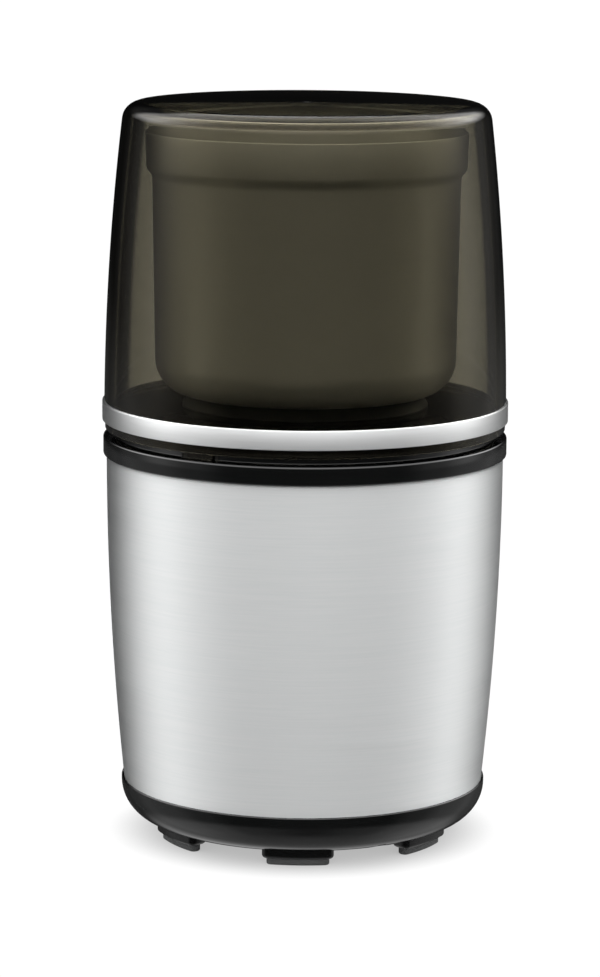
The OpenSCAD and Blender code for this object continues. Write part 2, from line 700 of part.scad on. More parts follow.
// Black dish with its six foot bosses, screw wells, air slots and rear cord boss
module base_dish() {
    inner_edge = dish_edge_r - dish_wall;
    edge_z = foot_h + dish_edge_r;
    wall_r = sleeve_in_low_r - 0.15;
    groove_r = dish_r - dish_lip;
    well_z = foot_h + well_depth;
    gland_len = gland_y - gland_in_y;
    section = concat(
        [[0, foot_h]],
        quarter([dish_flat_r, edge_z], dish_edge_r, -90, 0),
        [[dish_r, dish_rim_z - 0.3], [dish_r - 0.2, dish_rim_z], [groove_r, dish_rim_z]],
        [[groove_r, sleeve_low_z], [wall_r, sleeve_low_z], [wall_r, dish_rim_z + 1.5]],
        [[wall_r - 1.8, dish_rim_z + 1.5], [wall_r - 1.8, sleeve_low_z - 1]],
        flip(quarter([wall_r - 1.8 - inner_edge, dish_floor_z + inner_edge], inner_edge, -90, -25, 6)),
        [[0, dish_floor_z]]);
    color([0.08, 0.08, 0.08]) difference() {
        union() {
            rotate_extrude() polygon(section);
            for (a = foot_angles) rotate([0, 0, a]) {
                rim_bar(boss_edge - 0.5, 1.6, pad_h, pad_h + 1.1);
                rim_bar(boss_edge, 2, pad_h + 0.9, dish_floor_z);
            }
            for (a = pillar_angles) at(a, pillar_mid_r) disc(pillar_r + 1, foot_h + 2, pillar_z);
            translate([0, gland_y, gland_z]) rotate([90, 0, 0])
                linear_extrude(gland_len) rounded_rect(2 * gland_boss, 2 * gland_boss, gland_corner);
            ring(boss_r + 8, boss_r + 6, dish_floor_z - 0.5, dish_floor_z + 3);
        }
        for (a = foot_angles, s = [-1, 1]) at(a + s * peg_turn, peg_mid_r)
            disc(peg_r + snug, pad_h - eps, pad_h + 2.6);
        for (a = pillar_angles) at(a, pillar_mid_r) {
            disc(base_head_r + 0.4, foot_h - eps, well_z);
            disc(base_screw_r + 0.1, foot_h, pillar_z + eps);
        }
        for (a = [0:15:345]) at(a, 0)
            block(boss_r + 0.5, boss_r + 5, -0.9, 0.9, foot_h - eps, dish_floor_z + eps);
        for (a = [0:12:348]) at(a, 0)
            block(boss_r + 9.5, boss_r + 14.5, -0.9, 0.9, foot_h - eps, dish_floor_z + eps);
        translate([0, gland_y + eps, gland_z]) rotate([90, 0, 0]) linear_extrude(gland_len + 2 * eps)
            rounded_rect(2 * (gland_neck + snug), 2 * (gland_neck + snug), gland_corner);
        translate([0, gland_in_y, gland_z]) rotate([90, 0, 0])
            cylinder(r = gland_lip_r + 0.3, h = gland_lip + 0.6);
    }
}

// Curved rubber pads, each with two pegs in its boss
module foot_pads() {
    color([0.2, 0.2, 0.2]) for (a = foot_angles) {
        rotate([0, 0, a]) rim_bar(0, 1.2, 0.2, pad_h);
        rotate([0, 0, a]) rim_bar(-0.2, 1, 0, 0.3);
        for (s = [-1, 1]) at(a + s * peg_turn, peg_mid_r) disc(peg_r, pad_h - 0.2, pad_h + 2.4);
    }
}

// Four screws that pull the dish and the collar together over the steel
module base_screws() {
    color("gray") for (a = pillar_angles) at(a, pillar_mid_r)
        screw(foot_h + well_depth, base_head_r, base_head_h, base_screw_r, base_screw_len);
}

// Rubber gland that the mains cord comes out of, with flats on its neck so that it can't turn
module cord_gland() {
    len = gland_y - gland_in_y;
    color([0.1, 0.1, 0.1]) translate([0, gland_y, gland_z]) rotate([90, 0, 0]) difference() {
        union() {
            translate([0, 0, -gland_lip]) cylinder(r1 = gland_lip_r - 0.5, r2 = gland_lip_r, h = gland_lip);
            linear_extrude(len) rounded_rect(2 * gland_neck, 2 * gland_neck, gland_corner);
            translate([0, 0, len]) cylinder(r = gland_lip_r, h = gland_lip);
        }
        translate([0, 0, -gland_lip - eps]) cylinder(r = cord_r, h = len + 2 * gland_lip + 2 * eps);
    }
}

// ---------------------------------------------------------------- start switches

// Nylon plungers: a plate under the lid's tab and a pin down to the switch
module start_plungers() {
    color("ivory") for (a = plunger_angles) rotate([0, 0, a]) {
        intersection() {
            disc(tab_out_r, tab_z - plate_t, tab_z);
            block(plunger_r - 2.3, tab_out_r, -plate_w / 2, plate_w / 2, tab_z - plate_t, tab_z);
        }
        translate([plunger_r, 0, 0]) disc(pin_r, pin_low_z, tab_z - plate_t / 2);
    }
}

// Return springs round the pins
module plunger_springs() {
    color("silver") for (a = plunger_angles) at(a, plunger_r)
        coil_spring(spring_r, spring_wire, spring_seat_z, tab_z - plate_t, 6);
}

// Snap-action switches on the walls under the plungers
module start_switches() {
    low_z = switch_top_z - switch_h;
    color([0.15, 0.15, 0.15]) for (a = plunger_angles) at(a, switch_mid_r) difference() {
        union() {
            block(-switch_d / 2, switch_d / 2, -switch_w / 2, switch_w / 2, low_z, switch_top_z);
            for (y = [-tag_y, 0, tag_y]) block(-0.4, 0.4, y - 1.6, y + 1.6, low_z - tag_h, low_z);
        }
        block(0.1, 2.7, -1.6, 1.6, switch_top_z - 3.2, switch_top_z + eps);
        for (s = [-1, 1]) translate([0, s * switch_screw_y, switch_top_z - switch_h / 2]) rotate([0, 90, 0])
            cylinder(r = switch_screw_r + run, h = switch_d + 2, center = true);
    }
}

// Small buttons of the switches, under the plunger pins
module switch_buttons() {
    color("firebrick") for (a = plunger_angles) at(a, plunger_r)
        block(-0.95, 0.95, -1.2, 1.2, switch_top_z - 1.4, pin_low_z);
}

// Screws that hold the switches to their walls
module switch_screws() {
    color("gray") for (a = plunger_angles) rotate([0, 0, a]) for (s = [-1, 1])
        translate([switch_mid_r + switch_d / 2, s * switch_screw_y, switch_top_z - switch_h / 2])
            rotate([0, -90, 0])
                screw(0, switch_head_r, switch_head_h, switch_screw_r, switch_d + switch_wall_t - 0.3);
}

// ---------------------------------------------------------------- motor

// Die-cast upper bracket: a bridge whose four arms hang on rubber mounts
module upper_bracket() {
    reach = post_mid_r + 4;
    half = bracket_w / 2;
    leg_y = stator_y / 2;
    color("darkgray") difference() {
        union() {
            block(-half, half, -leg_y, leg_y, bracket_z, bracket_top_z);
            for (a = isolator_angles) rotate([0, 0, a])
                block(0, reach, -arm_w / 2, arm_w / 2, bracket_z, bracket_top_z);
            for (s = [-1, 1]) scale_y(s)
                block(-half, half, leg_y - leg_t, leg_y, stator_top_z, bracket_top_z);
            disc(boss_r, bracket_z, bracket_z + bearing_h + 1.5);
        }
        disc(bearing_r + snug, bracket_z + 1.5, bracket_z + bearing_h + 2);
        disc(shaft_r + 0.8, bracket_z - eps, bracket_top_z);
        for (s = [-1, 1]) translate([0, s * bolt_y, 0])
            disc(bolt_r + run, stator_top_z - eps, bracket_top_z + eps);
        for (a = isolator_angles) at(a, post_mid_r) disc(neck_r + snug, bracket_z - eps, bracket_top_z + eps);
    }
}

module scale_y(s) {
    mirror([0, s < 0 ? 1 : 0, 0]) children();
}

// Die-cast lower bracket, with shelves for the brush holders
module lower_bracket() {
    top = low_bracket_top_z;
    shelf_z = brush_z - brush_h / 2 - brush_case;
    half = bracket_w / 2;
    leg_y = stator_y / 2;
    color("darkgray") difference() {
        union() {
            block(-half, half, -leg_y, leg_y, low_bracket_z, top);
            for (s = [-1, 1]) scale_y(s) block(-half, half, leg_y - leg_t, leg_y, low_bracket_z, stator_z);
            for (a = [0, 180]) rotate([0, 0, a]) {
                block(0, brush_out, -arm_w / 2, arm_w / 2, low_bracket_z, top);
                block(comm_r + 5, brush_out - 1, -arm_w / 2, arm_w / 2, low_bracket_z, shelf_z);
            }
            disc(boss_r, top - bearing_h - 1.5, top);
        }
        disc(bearing_r + snug, top - bearing_h - 2, top - 1.5);
        disc(shaft_r + 0.8, low_bracket_z, top + eps);
        for (s = [-1, 1]) translate([0, s * bolt_y, 0])
            disc(bolt_r + run, low_bracket_z - eps, stator_z + eps);
    }
}

// Plain bearings of the motor shaft
module motor_bearings() {
    color("peru") {
        ring(bearing_r, shaft_r + run, bracket_z + 1.5, bracket_z + 1.5 + bearing_h);
        ring(bearing_r, shaft_r + run, low_bracket_top_z - 1.5 - bearing_h, low_bracket_top_z - 1.5);
    }
}

// Stacked steel laminations with the two poles
module stator_core() {
    color([0.45, 0.46, 0.48]) difference() {
        rounded_block(stator_x, stator_y, 6, stator_z, stator_top_z);
        disc(stator_bore_r, stator_z - eps, stator_top_z + eps);
        for (sx = [0, 180], sy = [0, 1]) rotate([0, 0, sx]) mirror([0, sy, 0])
            block(slot_x - 0.15, slot_x + coil_w + 0.15, slot_y, slot_y + coil_w + 0.3,
                stator_z - eps, stator_top_z + eps);
        for (s = [-1, 1]) translate([0, s * bolt_y, 0])
            disc(bolt_r + run, stator_z - eps, stator_top_z + eps);
    }
}

// Copper field coils, one round each pole
module field_coils() {
    inner_y = 2 * slot_y + 0.3;
    outer_y = inner_y + 2 * coil_w;
    mid_z = (stator_z + stator_top_z) / 2;
    color([0.72, 0.4, 0.2]) for (a = [0, 180]) rotate([0, 0, a])
        translate([slot_x, 0, mid_z]) rotate([90, 0, 90]) linear_extrude(coil_w) difference() {
            rounded_rect(outer_y, core_h + 0.8 + 2 * coil_w, 4);
            rounded_rect(inner_y, core_h + 0.8, 1);
        }
}

// Two long bolts through both brackets and the laminations
module motor_bolts() {
    color("gray") for (s = [-1, 1]) translate([0, s * bolt_y, 0])
        screw(low_bracket_z, bolt_head_r, bolt_head_h, bolt_r, bracket_top_z - low_bracket_z + nut_h + 1.6);
}

// Nuts on the long bolts
module bolt_nuts() {
    color("gray") for (s = [-1, 1]) translate([0, s * bolt_y, bracket_top_z]) difference() {
        cylinder(r = bolt_head_r + 0.2, h = nut_h, $fn = 6);
        translate([0, 0, -eps]) cylinder(r = bolt_r + snug, h = nut_h + 2 * eps);
    }
}

// Rubber mounts between the posts and the upper bracket
module motor_isolators() {
    color([0.12, 0.12, 0.12]) for (a = isolator_angles) at(a, post_mid_r) rotate_extrude() polygon([
        [post_screw_r + run, bracket_z - flange_t], [isolator_r, bracket_z - flange_t],
        [isolator_r, bracket_z], [neck_r, bracket_z], [neck_r, bracket_top_z], [isolator_r, bracket_top_z],
        [isolator_r, post_z], [post_screw_r + run, post_z]]);
}

// Screws up through the rubber mounts into the posts
module isolator_screws() {
    len = 2 * flange_t + bracket_t + post_grip;
    color("gray") for (a = isolator_angles) at(a, post_mid_r)
        screw(bracket_z - flange_t, post_head_r, post_head_h, post_screw_r, len);
}

// Moulded holders on the shelves of the lower bracket
module brush_holders() {
    w = brush_w / 2 + brush_case;
    h = brush_h / 2 + brush_case;
    color([0.55, 0.3, 0.12]) for (a = [0, 180]) rotate([0, 0, a]) difference() {
        block(comm_r + 1.5, brush_out, -w, w, brush_z - h, brush_z + h);
        block(comm_r + 1, brush_out - brush_case, -brush_w / 2 - run, brush_w / 2 + run,
            brush_z - brush_h / 2 - run, brush_z + brush_h / 2 + run);
    }
}

// Springs that push the brushes in
module brush_springs() {
    color("silver") for (a = [0, 180]) rotate([0, 0, a]) translate([0, 0, brush_z]) rotate([0, 90, 0])
        coil_spring(1.8, 0.5, comm_r + 0.2 + brush_len, brush_out - brush_case, 4);
}

// Carbon brushes with ends that follow the commutator
module carbon_brushes() {
    color([0.18, 0.18, 0.2]) for (a = [0, 180]) rotate([0, 0, a]) difference() {
        block(comm_r - 1.5, comm_r + 0.2 + brush_len, -brush_w / 2, brush_w / 2,
            brush_z - brush_h / 2, brush_z + brush_h / 2);
        disc(comm_r + 0.1, brush_z - brush_h, brush_z + brush_h);
    }
}

// Ground shaft of the motor
module motor_shaft() {
    color("lightgray") disc(shaft_r, fan_z - 1, coupling_disc_z + 2.5);
}

// Slotted laminations on the shaft
module armature_core() {
    color([0.45, 0.46, 0.48]) difference() {
        disc(core_r, stator_z, stator_top_z);
        disc(shaft_r + snug, stator_z - eps, stator_top_z + eps);
        for (a = [0:30:330]) at(a, 0)
            block(core_r - 4, core_r + 1, -0.7, 0.7, stator_z - eps, stator_top_z + eps);
    }
}

// Copper end turns above and below the laminations
module armature_windings() {
    color([0.72, 0.4, 0.2]) for (z = [stator_z - winding_h, stator_top_z]) translate([0, 0, z])
        rotate_extrude() polygon([
            [shaft_r + 1.5, 0], [winding_r - 1.5, 0], [winding_r, 1.5], [winding_r, winding_h - 1.5],
            [winding_r - 1.5, winding_h], [shaft_r + 1.5, winding_h]]);
}

// Copper bars on an insulated hub
module commutator() {
    color([0.75, 0.45, 0.25]) difference() {
        union() {
            ring(comm_r, shaft_r + snug, comm_z, comm_z + comm_h);
            ring(comm_r - 2, shaft_r + snug, comm_z + comm_h - 1, stator_z - winding_h);
        }
        for (a = [0:15:345]) at(a, 0)
            block(comm_r - 1, comm_r + 1, -0.25, 0.25, comm_z - eps, comm_z + comm_h - 1.5);
    }
}

// Moulded radial fan that draws air in through the base
module cooling_fan() {
    plate_z = fan_z + fan_h - 1.5;
    color([0.85, 0.85, 0.82]) {
        ring(6, shaft_r + snug, fan_z, fan_z + fan_h);
        ring(fan_r, 5.5, plate_z, fan_z + fan_h);
        for (a = [0:36:324]) at(a, 0) rotate([0, 0, 12])
            block(8, fan_r - 1, -1.6, -0.4, fan_z, plate_z + 0.3);
    }
}

// Lower half of the drive coupling, on the motor's shaft
module drive_coupling() {
    color([0.12, 0.12, 0.12]) {
        ring(coupling_r, shaft_r + snug, coupling_disc_z, coupling_disc_z + 3);
        claws(60, coupling_disc_z + 2.5, dog_z - 0.3);
    }
}

// ---------------------------------------------------------------- wiring

// Thermal cut-out on top of one field coil
module thermal_cutout() {
    low_z = stator_top_z + 0.4 + coil_w;
    len = 7.5;
    color("white") block(slot_x + 0.3, slot_x + coil_w - 0.3, -len / 2, len / 2, low_z, low_z + 2);
}

// Terminal block on the floor of the dish
module terminal_block() {
    top = dish_floor_z + terminal_h;
    color("whitesmoke") difference() {
        block(-9, 9, terminal_y - 4, terminal_y + 4, dish_floor_z, top);
        for (x = [-6, 0, 6]) translate([x, terminal_y, 0]) disc(1.4, top - 5, top + eps);
    }
}

// Insulated leads from the terminal block to the switches and the coils
module internal_leads() {
    r = 1;
    top = dish_floor_z + terminal_h + 0.3;
    tail = switch_top_z - switch_h;
    coil_x = slot_x + coil_w / 2;
    coil_y = slot_y + 0.15 + coil_w + 1.3;
    coil_z = stator_z - coil_w / 2 - 0.4;
    ring_r = switch_mid_r - 1.2;
    tag_r = switch_mid_r - 1.6;
    end_z = tail - 0.5;
    ring_z = tail - 12;
    function on_ring(a, q, z) = [q * cos(a), q * sin(a), z];
    color("firebrick") lead([[6, terminal_y, top], [7, terminal_y + 3, top + 8],
        on_ring(72, tag_r - 5, top + 20), on_ring(68, tag_r - 1, tail - 25),
        on_ring(66, tag_r, tail - 12), on_ring(66, tag_r, end_z)], r);
    color("firebrick") lead(concat([on_ring(52, tag_r, end_z), on_ring(50, tag_r, ring_z + 4)],
        [for (a = [40:-20:-100]) on_ring(a, ring_r, ring_z)],
        [on_ring(-112, tag_r, ring_z + 4), on_ring(-112, tag_r, end_z)]), r);
    color("steelblue") lead([on_ring(232, tag_r, end_z), on_ring(232, tag_r - 1, tail - 8),
        on_ring(232, tag_r - 6, coil_z + 2), [-coil_x - 3, -coil_y - 3, coil_z],
        [-coil_x, -coil_y, coil_z]], r);
    color("steelblue") lead([[-6, terminal_y, top], [-8, terminal_y, top + 8],
        [-bracket_w / 2 - 2.5, stator_y / 2 + 3, coil_z - 14], [-coil_x - 1, coil_y + 3, coil_z - 3],
        [-coil_x, coil_y, coil_z]], r);
}

lid_shell();
lid_band();
grinding_bowl();
bowl_foot();
bearing_housing();
bowl_bush();
shaft_seal();
blade_shaft();
blade();
blade_washer();
blade_nut();
drive_dog();
top_housing();
support_pillars();
motor_posts();
steel_sleeve();
base_dish();
foot_pads();
base_screws();
cord_gland();
start_plungers();
plunger_springs();
start_switches();
switch_buttons();
switch_screws();
upper_bracket();
lower_bracket();
stator_core();
field_coils();
motor_bolts();
bolt_nuts();
motor_isolators();
isolator_screws();
motor_bearings();
brush_holders();
brush_springs();
carbon_brushes();
motor_shaft();
armature_core();
armature_windings();
commutator();
cooling_fan();
drive_coupling();
thermal_cutout();
terminal_block();
internal_leads();
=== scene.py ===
"""Electric spice grinder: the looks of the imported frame.

+Z is up and the front faces -Y. Sizes of pieces are given in mm, and MM turns them to metres.
"""

import math

import bmesh
import bpy
from mathutils import Matrix, Vector


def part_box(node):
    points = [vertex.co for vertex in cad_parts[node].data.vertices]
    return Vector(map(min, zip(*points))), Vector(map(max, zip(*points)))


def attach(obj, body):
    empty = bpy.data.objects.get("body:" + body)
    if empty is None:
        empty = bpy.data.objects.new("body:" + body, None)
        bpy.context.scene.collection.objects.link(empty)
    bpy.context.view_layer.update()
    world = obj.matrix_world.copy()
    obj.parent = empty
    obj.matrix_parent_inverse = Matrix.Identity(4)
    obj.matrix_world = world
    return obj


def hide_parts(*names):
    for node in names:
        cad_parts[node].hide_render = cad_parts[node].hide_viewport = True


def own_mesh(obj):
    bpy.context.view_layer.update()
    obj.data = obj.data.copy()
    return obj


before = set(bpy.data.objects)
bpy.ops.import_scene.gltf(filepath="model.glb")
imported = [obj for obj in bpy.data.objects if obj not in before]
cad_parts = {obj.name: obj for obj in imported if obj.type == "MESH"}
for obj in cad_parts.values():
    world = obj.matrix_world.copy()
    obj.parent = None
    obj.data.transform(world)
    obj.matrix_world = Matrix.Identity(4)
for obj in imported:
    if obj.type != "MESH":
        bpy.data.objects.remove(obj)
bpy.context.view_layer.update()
scene = bpy.context.scene
MM = 0.001

# ---------------------------------------------------------------- camera and studio
# The camera stands about a metre off, a little above the lid and turned a touch to the right.
# Its long lens keeps the sides of the body nearly parallel.
CAMERA_DISTANCE = 1.0207
CAMERA_HEIGHT = 0.2747
CAMERA_AZIMUTH = math.radians(1.6)
CAMERA_YAW = math.radians(0.0695)
CAMERA_PITCH = math.radians(10.04)
CAMERA_ROLL = math.radians(0.4)
FILM_HEIGHT = 36
LENS = 141.6

heading = CAMERA_AZIMUTH + CAMERA_YAW
forward = Vector((-math.sin(heading), math.cos(heading), 0)) * math.cos(CAMERA_PITCH)
forward.z = -math.sin(CAMERA_PITCH)
level_right = forward.cross(Vector((0, 0, 1))).normalized()
level_up = level_right.cross(forward)
right = level_right * math.cos(CAMERA_ROLL) + level_up * math.sin(CAMERA_ROLL)
up = right.cross(forward)
camera = bpy.data.objects.new("camera", bpy.data.cameras.new("camera"))
scene.collection.objects.link(camera)
camera.data.sensor_fit = "VERTICAL"
camera.data.sensor_height = FILM_HEIGHT
camera.data.lens = LENS
camera.data.clip_end = 60
place = Vector((math.sin(CAMERA_AZIMUTH), -math.cos(CAMERA_AZIMUTH), 0)) * CAMERA_DISTANCE
place.z = CAMERA_HEIGHT
camera.matrix_world = (Matrix.Translation(place)
                       @ Matrix((right, up, -forward)).transposed().to_4x4())
scene.camera = camera
scene.view_settings.view_transform = "Standard"


def srgb(code, alpha=1.0):
    """An sRGB hex colour as the linear one that a socket takes."""
    parts = [int(code[i:i + 2], 16) / 255 for i in (0, 2, 4)]
    return [p / 12.92 if p <= 0.04045 else ((p + 0.055) / 1.055) ** 2.4 for p in parts] + [alpha]


def put(tree, kind, settings=None, **inputs):
    """Adds a node. A setting is an attribute, and an input is a value or a node's output socket."""
    node = tree.nodes.new("ShaderNode" + kind)
    for name, value in (settings or {}).items():
        setattr(node, name, value)
    for name, value in inputs.items():
        key = int(name[1:]) if name[0] == "i" and name[1:].isdigit() else name.replace("_", " ")
        socket = node.inputs[key]
        if isinstance(value, bpy.types.NodeSocket):
            tree.links.new(value, socket)
        else:
            socket.default_value = value
    return node


# The light that a mirror sees, by direction. Azimuth is in degrees from the front, the same left
# and right. The floor is bright at the sides and behind, a dark belt lies round the horizon, and a
# large box hangs over the front and the sides.
RING_STOPS = (0, 48, 74, 96, 120, 142, 158, 180)
FLOOR_RING = (0.12, 0.3, 0.6, 0.75, 0.7, 0.45, 0.6, 0.9)
LOW_RING = (0.05, 0.05, 0.2, 0.38, 0.32, 0.12, 0.05, 0.04)
BELT_RING = (0.03, 0.05, 0.35, 0.8, 0.24, 0.04, 0.01, 0.004)
HIGH_RING = (3.2, 3.0, 3.2, 4.5, 4.8, 1.9, 0.06, 0.02)
TOP_RING = (2.9, 2.5, 2.5, 3.2, 3.6, 2.3, 2.2, 2.8)
BRIGHTEST = 5
BELOW = 0.4
OVERHEAD = 2.4
STUDIO_TURN = math.radians(8)
# The elevations in degrees between which each ring gives way to the next one up, and to the light
# straight below and overhead.
FLOOR_TOP = (-42, -29)
LOW_TOP = (-9, -5)
BELT_TOP = (8, 22)
HIGH_TOP = (34, 48)
BELOW_TOP = (-80, -52)
OVERHEAD_LOW = (66, 85)
# Behind the lid hangs a white card, with dark gaps beside it and dimmer cards beyond them. It is
# given by the angle from straight behind.
CARD_STOPS = (0, 10.4, 12.2, 20, 22)
CARD_RING = (0.58, 0.58, 0.03, 0.03, 0.5)
CARD_TURN = math.radians(0.4)
# What falls on matt surfaces is a plain white, a little stronger from the front and from above.
PLAIN = 0.9
PLAIN_FRONT = 0.4
PLAIN_ABOVE = 0.2
world = bpy.data.worlds.new("studio")
scene.world = world
world.use_nodes = True
tree = world.node_tree
tree.nodes.clear()


def bearing(turn, facing):
    """A ray's angle round the upright axis from +Y or -Y, as 0 to 1 on both sides.

    It also gives the ray's reach ahead and the ray itself.
    """
    ray = put(tree, "VectorRotate", {"rotation_type": "Z_AXIS"}, Angle=-turn,
              Vector=put(tree, "TexCoord").outputs["Generated"]).outputs[0]
    ray = put(tree, "SeparateXYZ", Vector=ray).outputs
    side = put(tree, "Math", {"operation": "ABSOLUTE"}, i0=ray["X"]).outputs[0]
    ahead = put(tree, "Math", {"operation": "MULTIPLY"}, i0=ray["Y"], i1=facing).outputs[0]
    angle = put(tree, "Math", {"operation": "ARCTAN2"}, i0=side, i1=ahead).outputs[0]
    return put(tree, "Math", {"operation": "DIVIDE"}, i0=angle, i1=math.pi).outputs[0], ahead, ray


turn, front, ray = bearing(STUDIO_TURN, -1)


def ring_light(levels, stops=RING_STOPS, turn=turn):
    """Brightness round the horizon, as a share of the brightest, eased between its stops."""
    ramp = put(tree, "ValToRGB", Fac=turn)
    ramp.color_ramp.interpolation = "EASE"
    while len(ramp.color_ramp.elements) < len(stops):
        ramp.color_ramp.elements.new(1)
    for element, (angle, level) in zip(ramp.color_ramp.elements, zip(stops, levels)):
        element.position = angle / 180
        element.color = [level / BRIGHTEST] * 3 + [1]
    return ramp.outputs[0]


def by_height(between, below, above):
    """Eases from one light to another between two elevations in degrees."""
    low, high = [math.sin(math.radians(elevation)) for elevation in between]
    share = put(tree, "MapRange", {"interpolation_type": "SMOOTHSTEP"}, Value=ray["Z"],
                From_Min=low, From_Max=high).outputs[0]
    return put(tree, "Mix", {"data_type": "FLOAT"}, i0=share, i2=below, i3=above).outputs[0]


studio = by_height(FLOOR_TOP, ring_light(FLOOR_RING), ring_light(LOW_RING))
studio = by_height(LOW_TOP, studio, ring_light(BELT_RING))
studio = by_height(BELT_TOP, studio, ring_light(HIGH_RING))
studio = by_height(HIGH_TOP, studio, ring_light(TOP_RING))
studio = by_height(BELOW_TOP, BELOW / BRIGHTEST, studio)
studio = by_height(OVERHEAD_LOW, studio, OVERHEAD / BRIGHTEST)
studio = put(tree, "Math", {"operation": "MULTIPLY"}, i0=studio, i1=BRIGHTEST).outputs[0]
# Straight ahead the camera sees a white backdrop, and through the lid the card. The world is
# reached by scattered rays alone, so that each of them sees the light that is meant for it.
# A ray's depth is above ONCE when it has bounced in that way before.
ONCE = 0.5
world.cycles.sampling_method = "NONE"
path = put(tree, "LightPath").outputs
mirrored = put(tree, "Math", {"operation": "GREATER_THAN"}, i0=path["Glossy Depth"],
               i1=ONCE).outputs[0]
matt = put(tree, "Math", {"operation": "GREATER_THAN"}, i0=path["Diffuse Depth"],
           i1=ONCE).outputs[0]
plain = put(tree, "Math", {"operation": "MULTIPLY_ADD"}, i0=front, i1=PLAIN_FRONT,
            i2=PLAIN).outputs[0]
plain = put(tree, "Math", {"operation": "MULTIPLY_ADD"}, i0=ray["Z"], i1=PLAIN_ABOVE,
            i2=plain).outputs[0]
card = ring_light(CARD_RING, CARD_STOPS, bearing(CARD_TURN, 1)[0])
card = put(tree, "Math", {"operation": "MULTIPLY"}, i0=card, i1=BRIGHTEST).outputs[0]
seen_through = put(tree, "Math", {"operation": "GREATER_THAN"}, i0=path["Transmission Depth"],
                   i1=ONCE).outputs[0]
shade = put(tree, "Mix", {"data_type": "FLOAT"}, i0=seen_through, i2=1.0, i3=card).outputs[0]
shade = put(tree, "Mix", {"data_type": "FLOAT"}, i0=matt, i2=shade, i3=plain).outputs[0]
shade = put(tree, "Mix", {"data_type": "FLOAT"}, i0=mirrored, i2=shade, i3=studio).outputs[0]
background = put(tree, "Background", Color=(1, 1, 1, 1), Strength=shade)
put(tree, "OutputWorld", Surface=background.outputs[0])

# White table, large enough to fill the view. To the camera it is an emission of plain white, with a
# narrow painted shadow round the feet, where ambient occlusion dims that emission. Mirrored and
# refracted rays pass through it to the studio's light, and it is clear from below.
TABLE_RADIUS = 9.0
TABLE_WHITE = (0.82, 0.82, 0.82, 1)
TABLE_GLOW = 1.02
# The painted shadow: how far the occlusion looks, the openness at which it is gone, and the darkest
# level.
SHADOW_REACH = 0.019
SHADOW_OPEN = 0.7
SHADOW_LEVEL = 0.42
bm = bmesh.new()
bmesh.ops.create_circle(bm, cap_ends=True, segments=96, radius=TABLE_RADIUS)
table = bpy.data.objects.new("table", bpy.data.meshes.new("table"))
bm.to_mesh(table.data)
bm.free()
scene.collection.objects.link(table)
paint = bpy.data.materials.new("white_table_painted_shadow")
paint.use_nodes = True
tree = paint.node_tree
tree.nodes.clear()
diffuse = put(tree, "BsdfDiffuse", Color=TABLE_WHITE).outputs[0]
# Painted shadow: the white that the camera sees is dimmed where the object stands close.
painted_shadow_openness = put(tree, "AmbientOcclusion", {"samples": 32}, Distance=SHADOW_REACH).outputs["AO"]
level = put(tree, "MapRange", Value=painted_shadow_openness, From_Min=0, From_Max=SHADOW_OPEN,
            To_Min=SHADOW_LEVEL, To_Max=TABLE_GLOW).outputs[0]
painted_shadow_glow = put(tree, "Emission", Color=(1, 1, 1, 1), Strength=level).outputs[0]
path = put(tree, "LightPath").outputs
white = put(tree, "MixShader", i0=path["Is Camera Ray"], i1=diffuse, i2=painted_shadow_glow).outputs[0]
passing = put(tree, "Math", {"operation": "ADD"}, i0=path["Glossy Depth"],
              i1=path["Transmission Depth"]).outputs[0]
passing = put(tree, "Math", {"operation": "ADD"}, i0=passing,
              i1=put(tree, "NewGeometry").outputs["Backfacing"]).outputs[0]
passing = put(tree, "Math", {"operation": "GREATER_THAN"}, i0=passing, i1=ONCE).outputs[0]
clear = put(tree, "BsdfTransparent").outputs[0]
put(tree, "OutputMaterial", Surface=put(
    tree, "MixShader", i0=passing, i1=white, i2=clear).outputs[0])
table.data.materials.append(paint)

# ---------------------------------------------------------------- base dish
# One black ABS moulding with a polished outside. Six bosses carry the feet, four wells take the
# screws, slots let the fan draw air in, and a square window at the rear holds the cord gland.
DISH_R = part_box("base_dish")[1].x / MM
FOOT_H = 4.2
DISH_RIM = 15.3
DISH_EDGE = 10
DISH_WALL = 2.4
DISH_LIP = 0.55
SLEEVE_LOW = 12.7
DISH_FLOOR = FOOT_H + DISH_WALL
SPIGOT_R = 47.49
SPIGOT_TOP = 16.8
SPIGOT_WALL = 1.8
FOOT_SPREAD = 57
FEET = [end + side * FOOT_SPREAD for end in (-90, 90) for side in (-1, 0, 1)]
PAD_H = 1.9
PAD_OUT = 40.16
PAD_W = 17.2
PAD_D = 3.2
PEG_R = 38.56
PEG_TURN = 6.4
BOSS_EDGE = 1.3
PILLARS = (0, 120, 180, 300)
PILLAR_R = 40.07
PILLAR_LOW = 16.3
STUB_R = 4.5
WELL_R = 3.6
WELL_TOP = 10.2
SCREW_HOLE_R = 1.8
AIR_RING_IN = 14.5
AIR_RING_OUT = 16.5
AIR_RING_TOP = 9.6
SLOT_HALF = 0.9
SLOT_CORNER = 0.85
# Degrees between the slots of a ring, and where they start and end.
SLOT_RINGS = {15: (9, 13.5), 12: (18, 23)}
GLAND_Z = 9.95
GLAND_BOSS = 5.0
GLAND_WINDOW = 3.82
GLAND_DEPTH = 7.6
# Edges that fold by more than this stay sharp to the eye.
CREASE = math.radians(32)


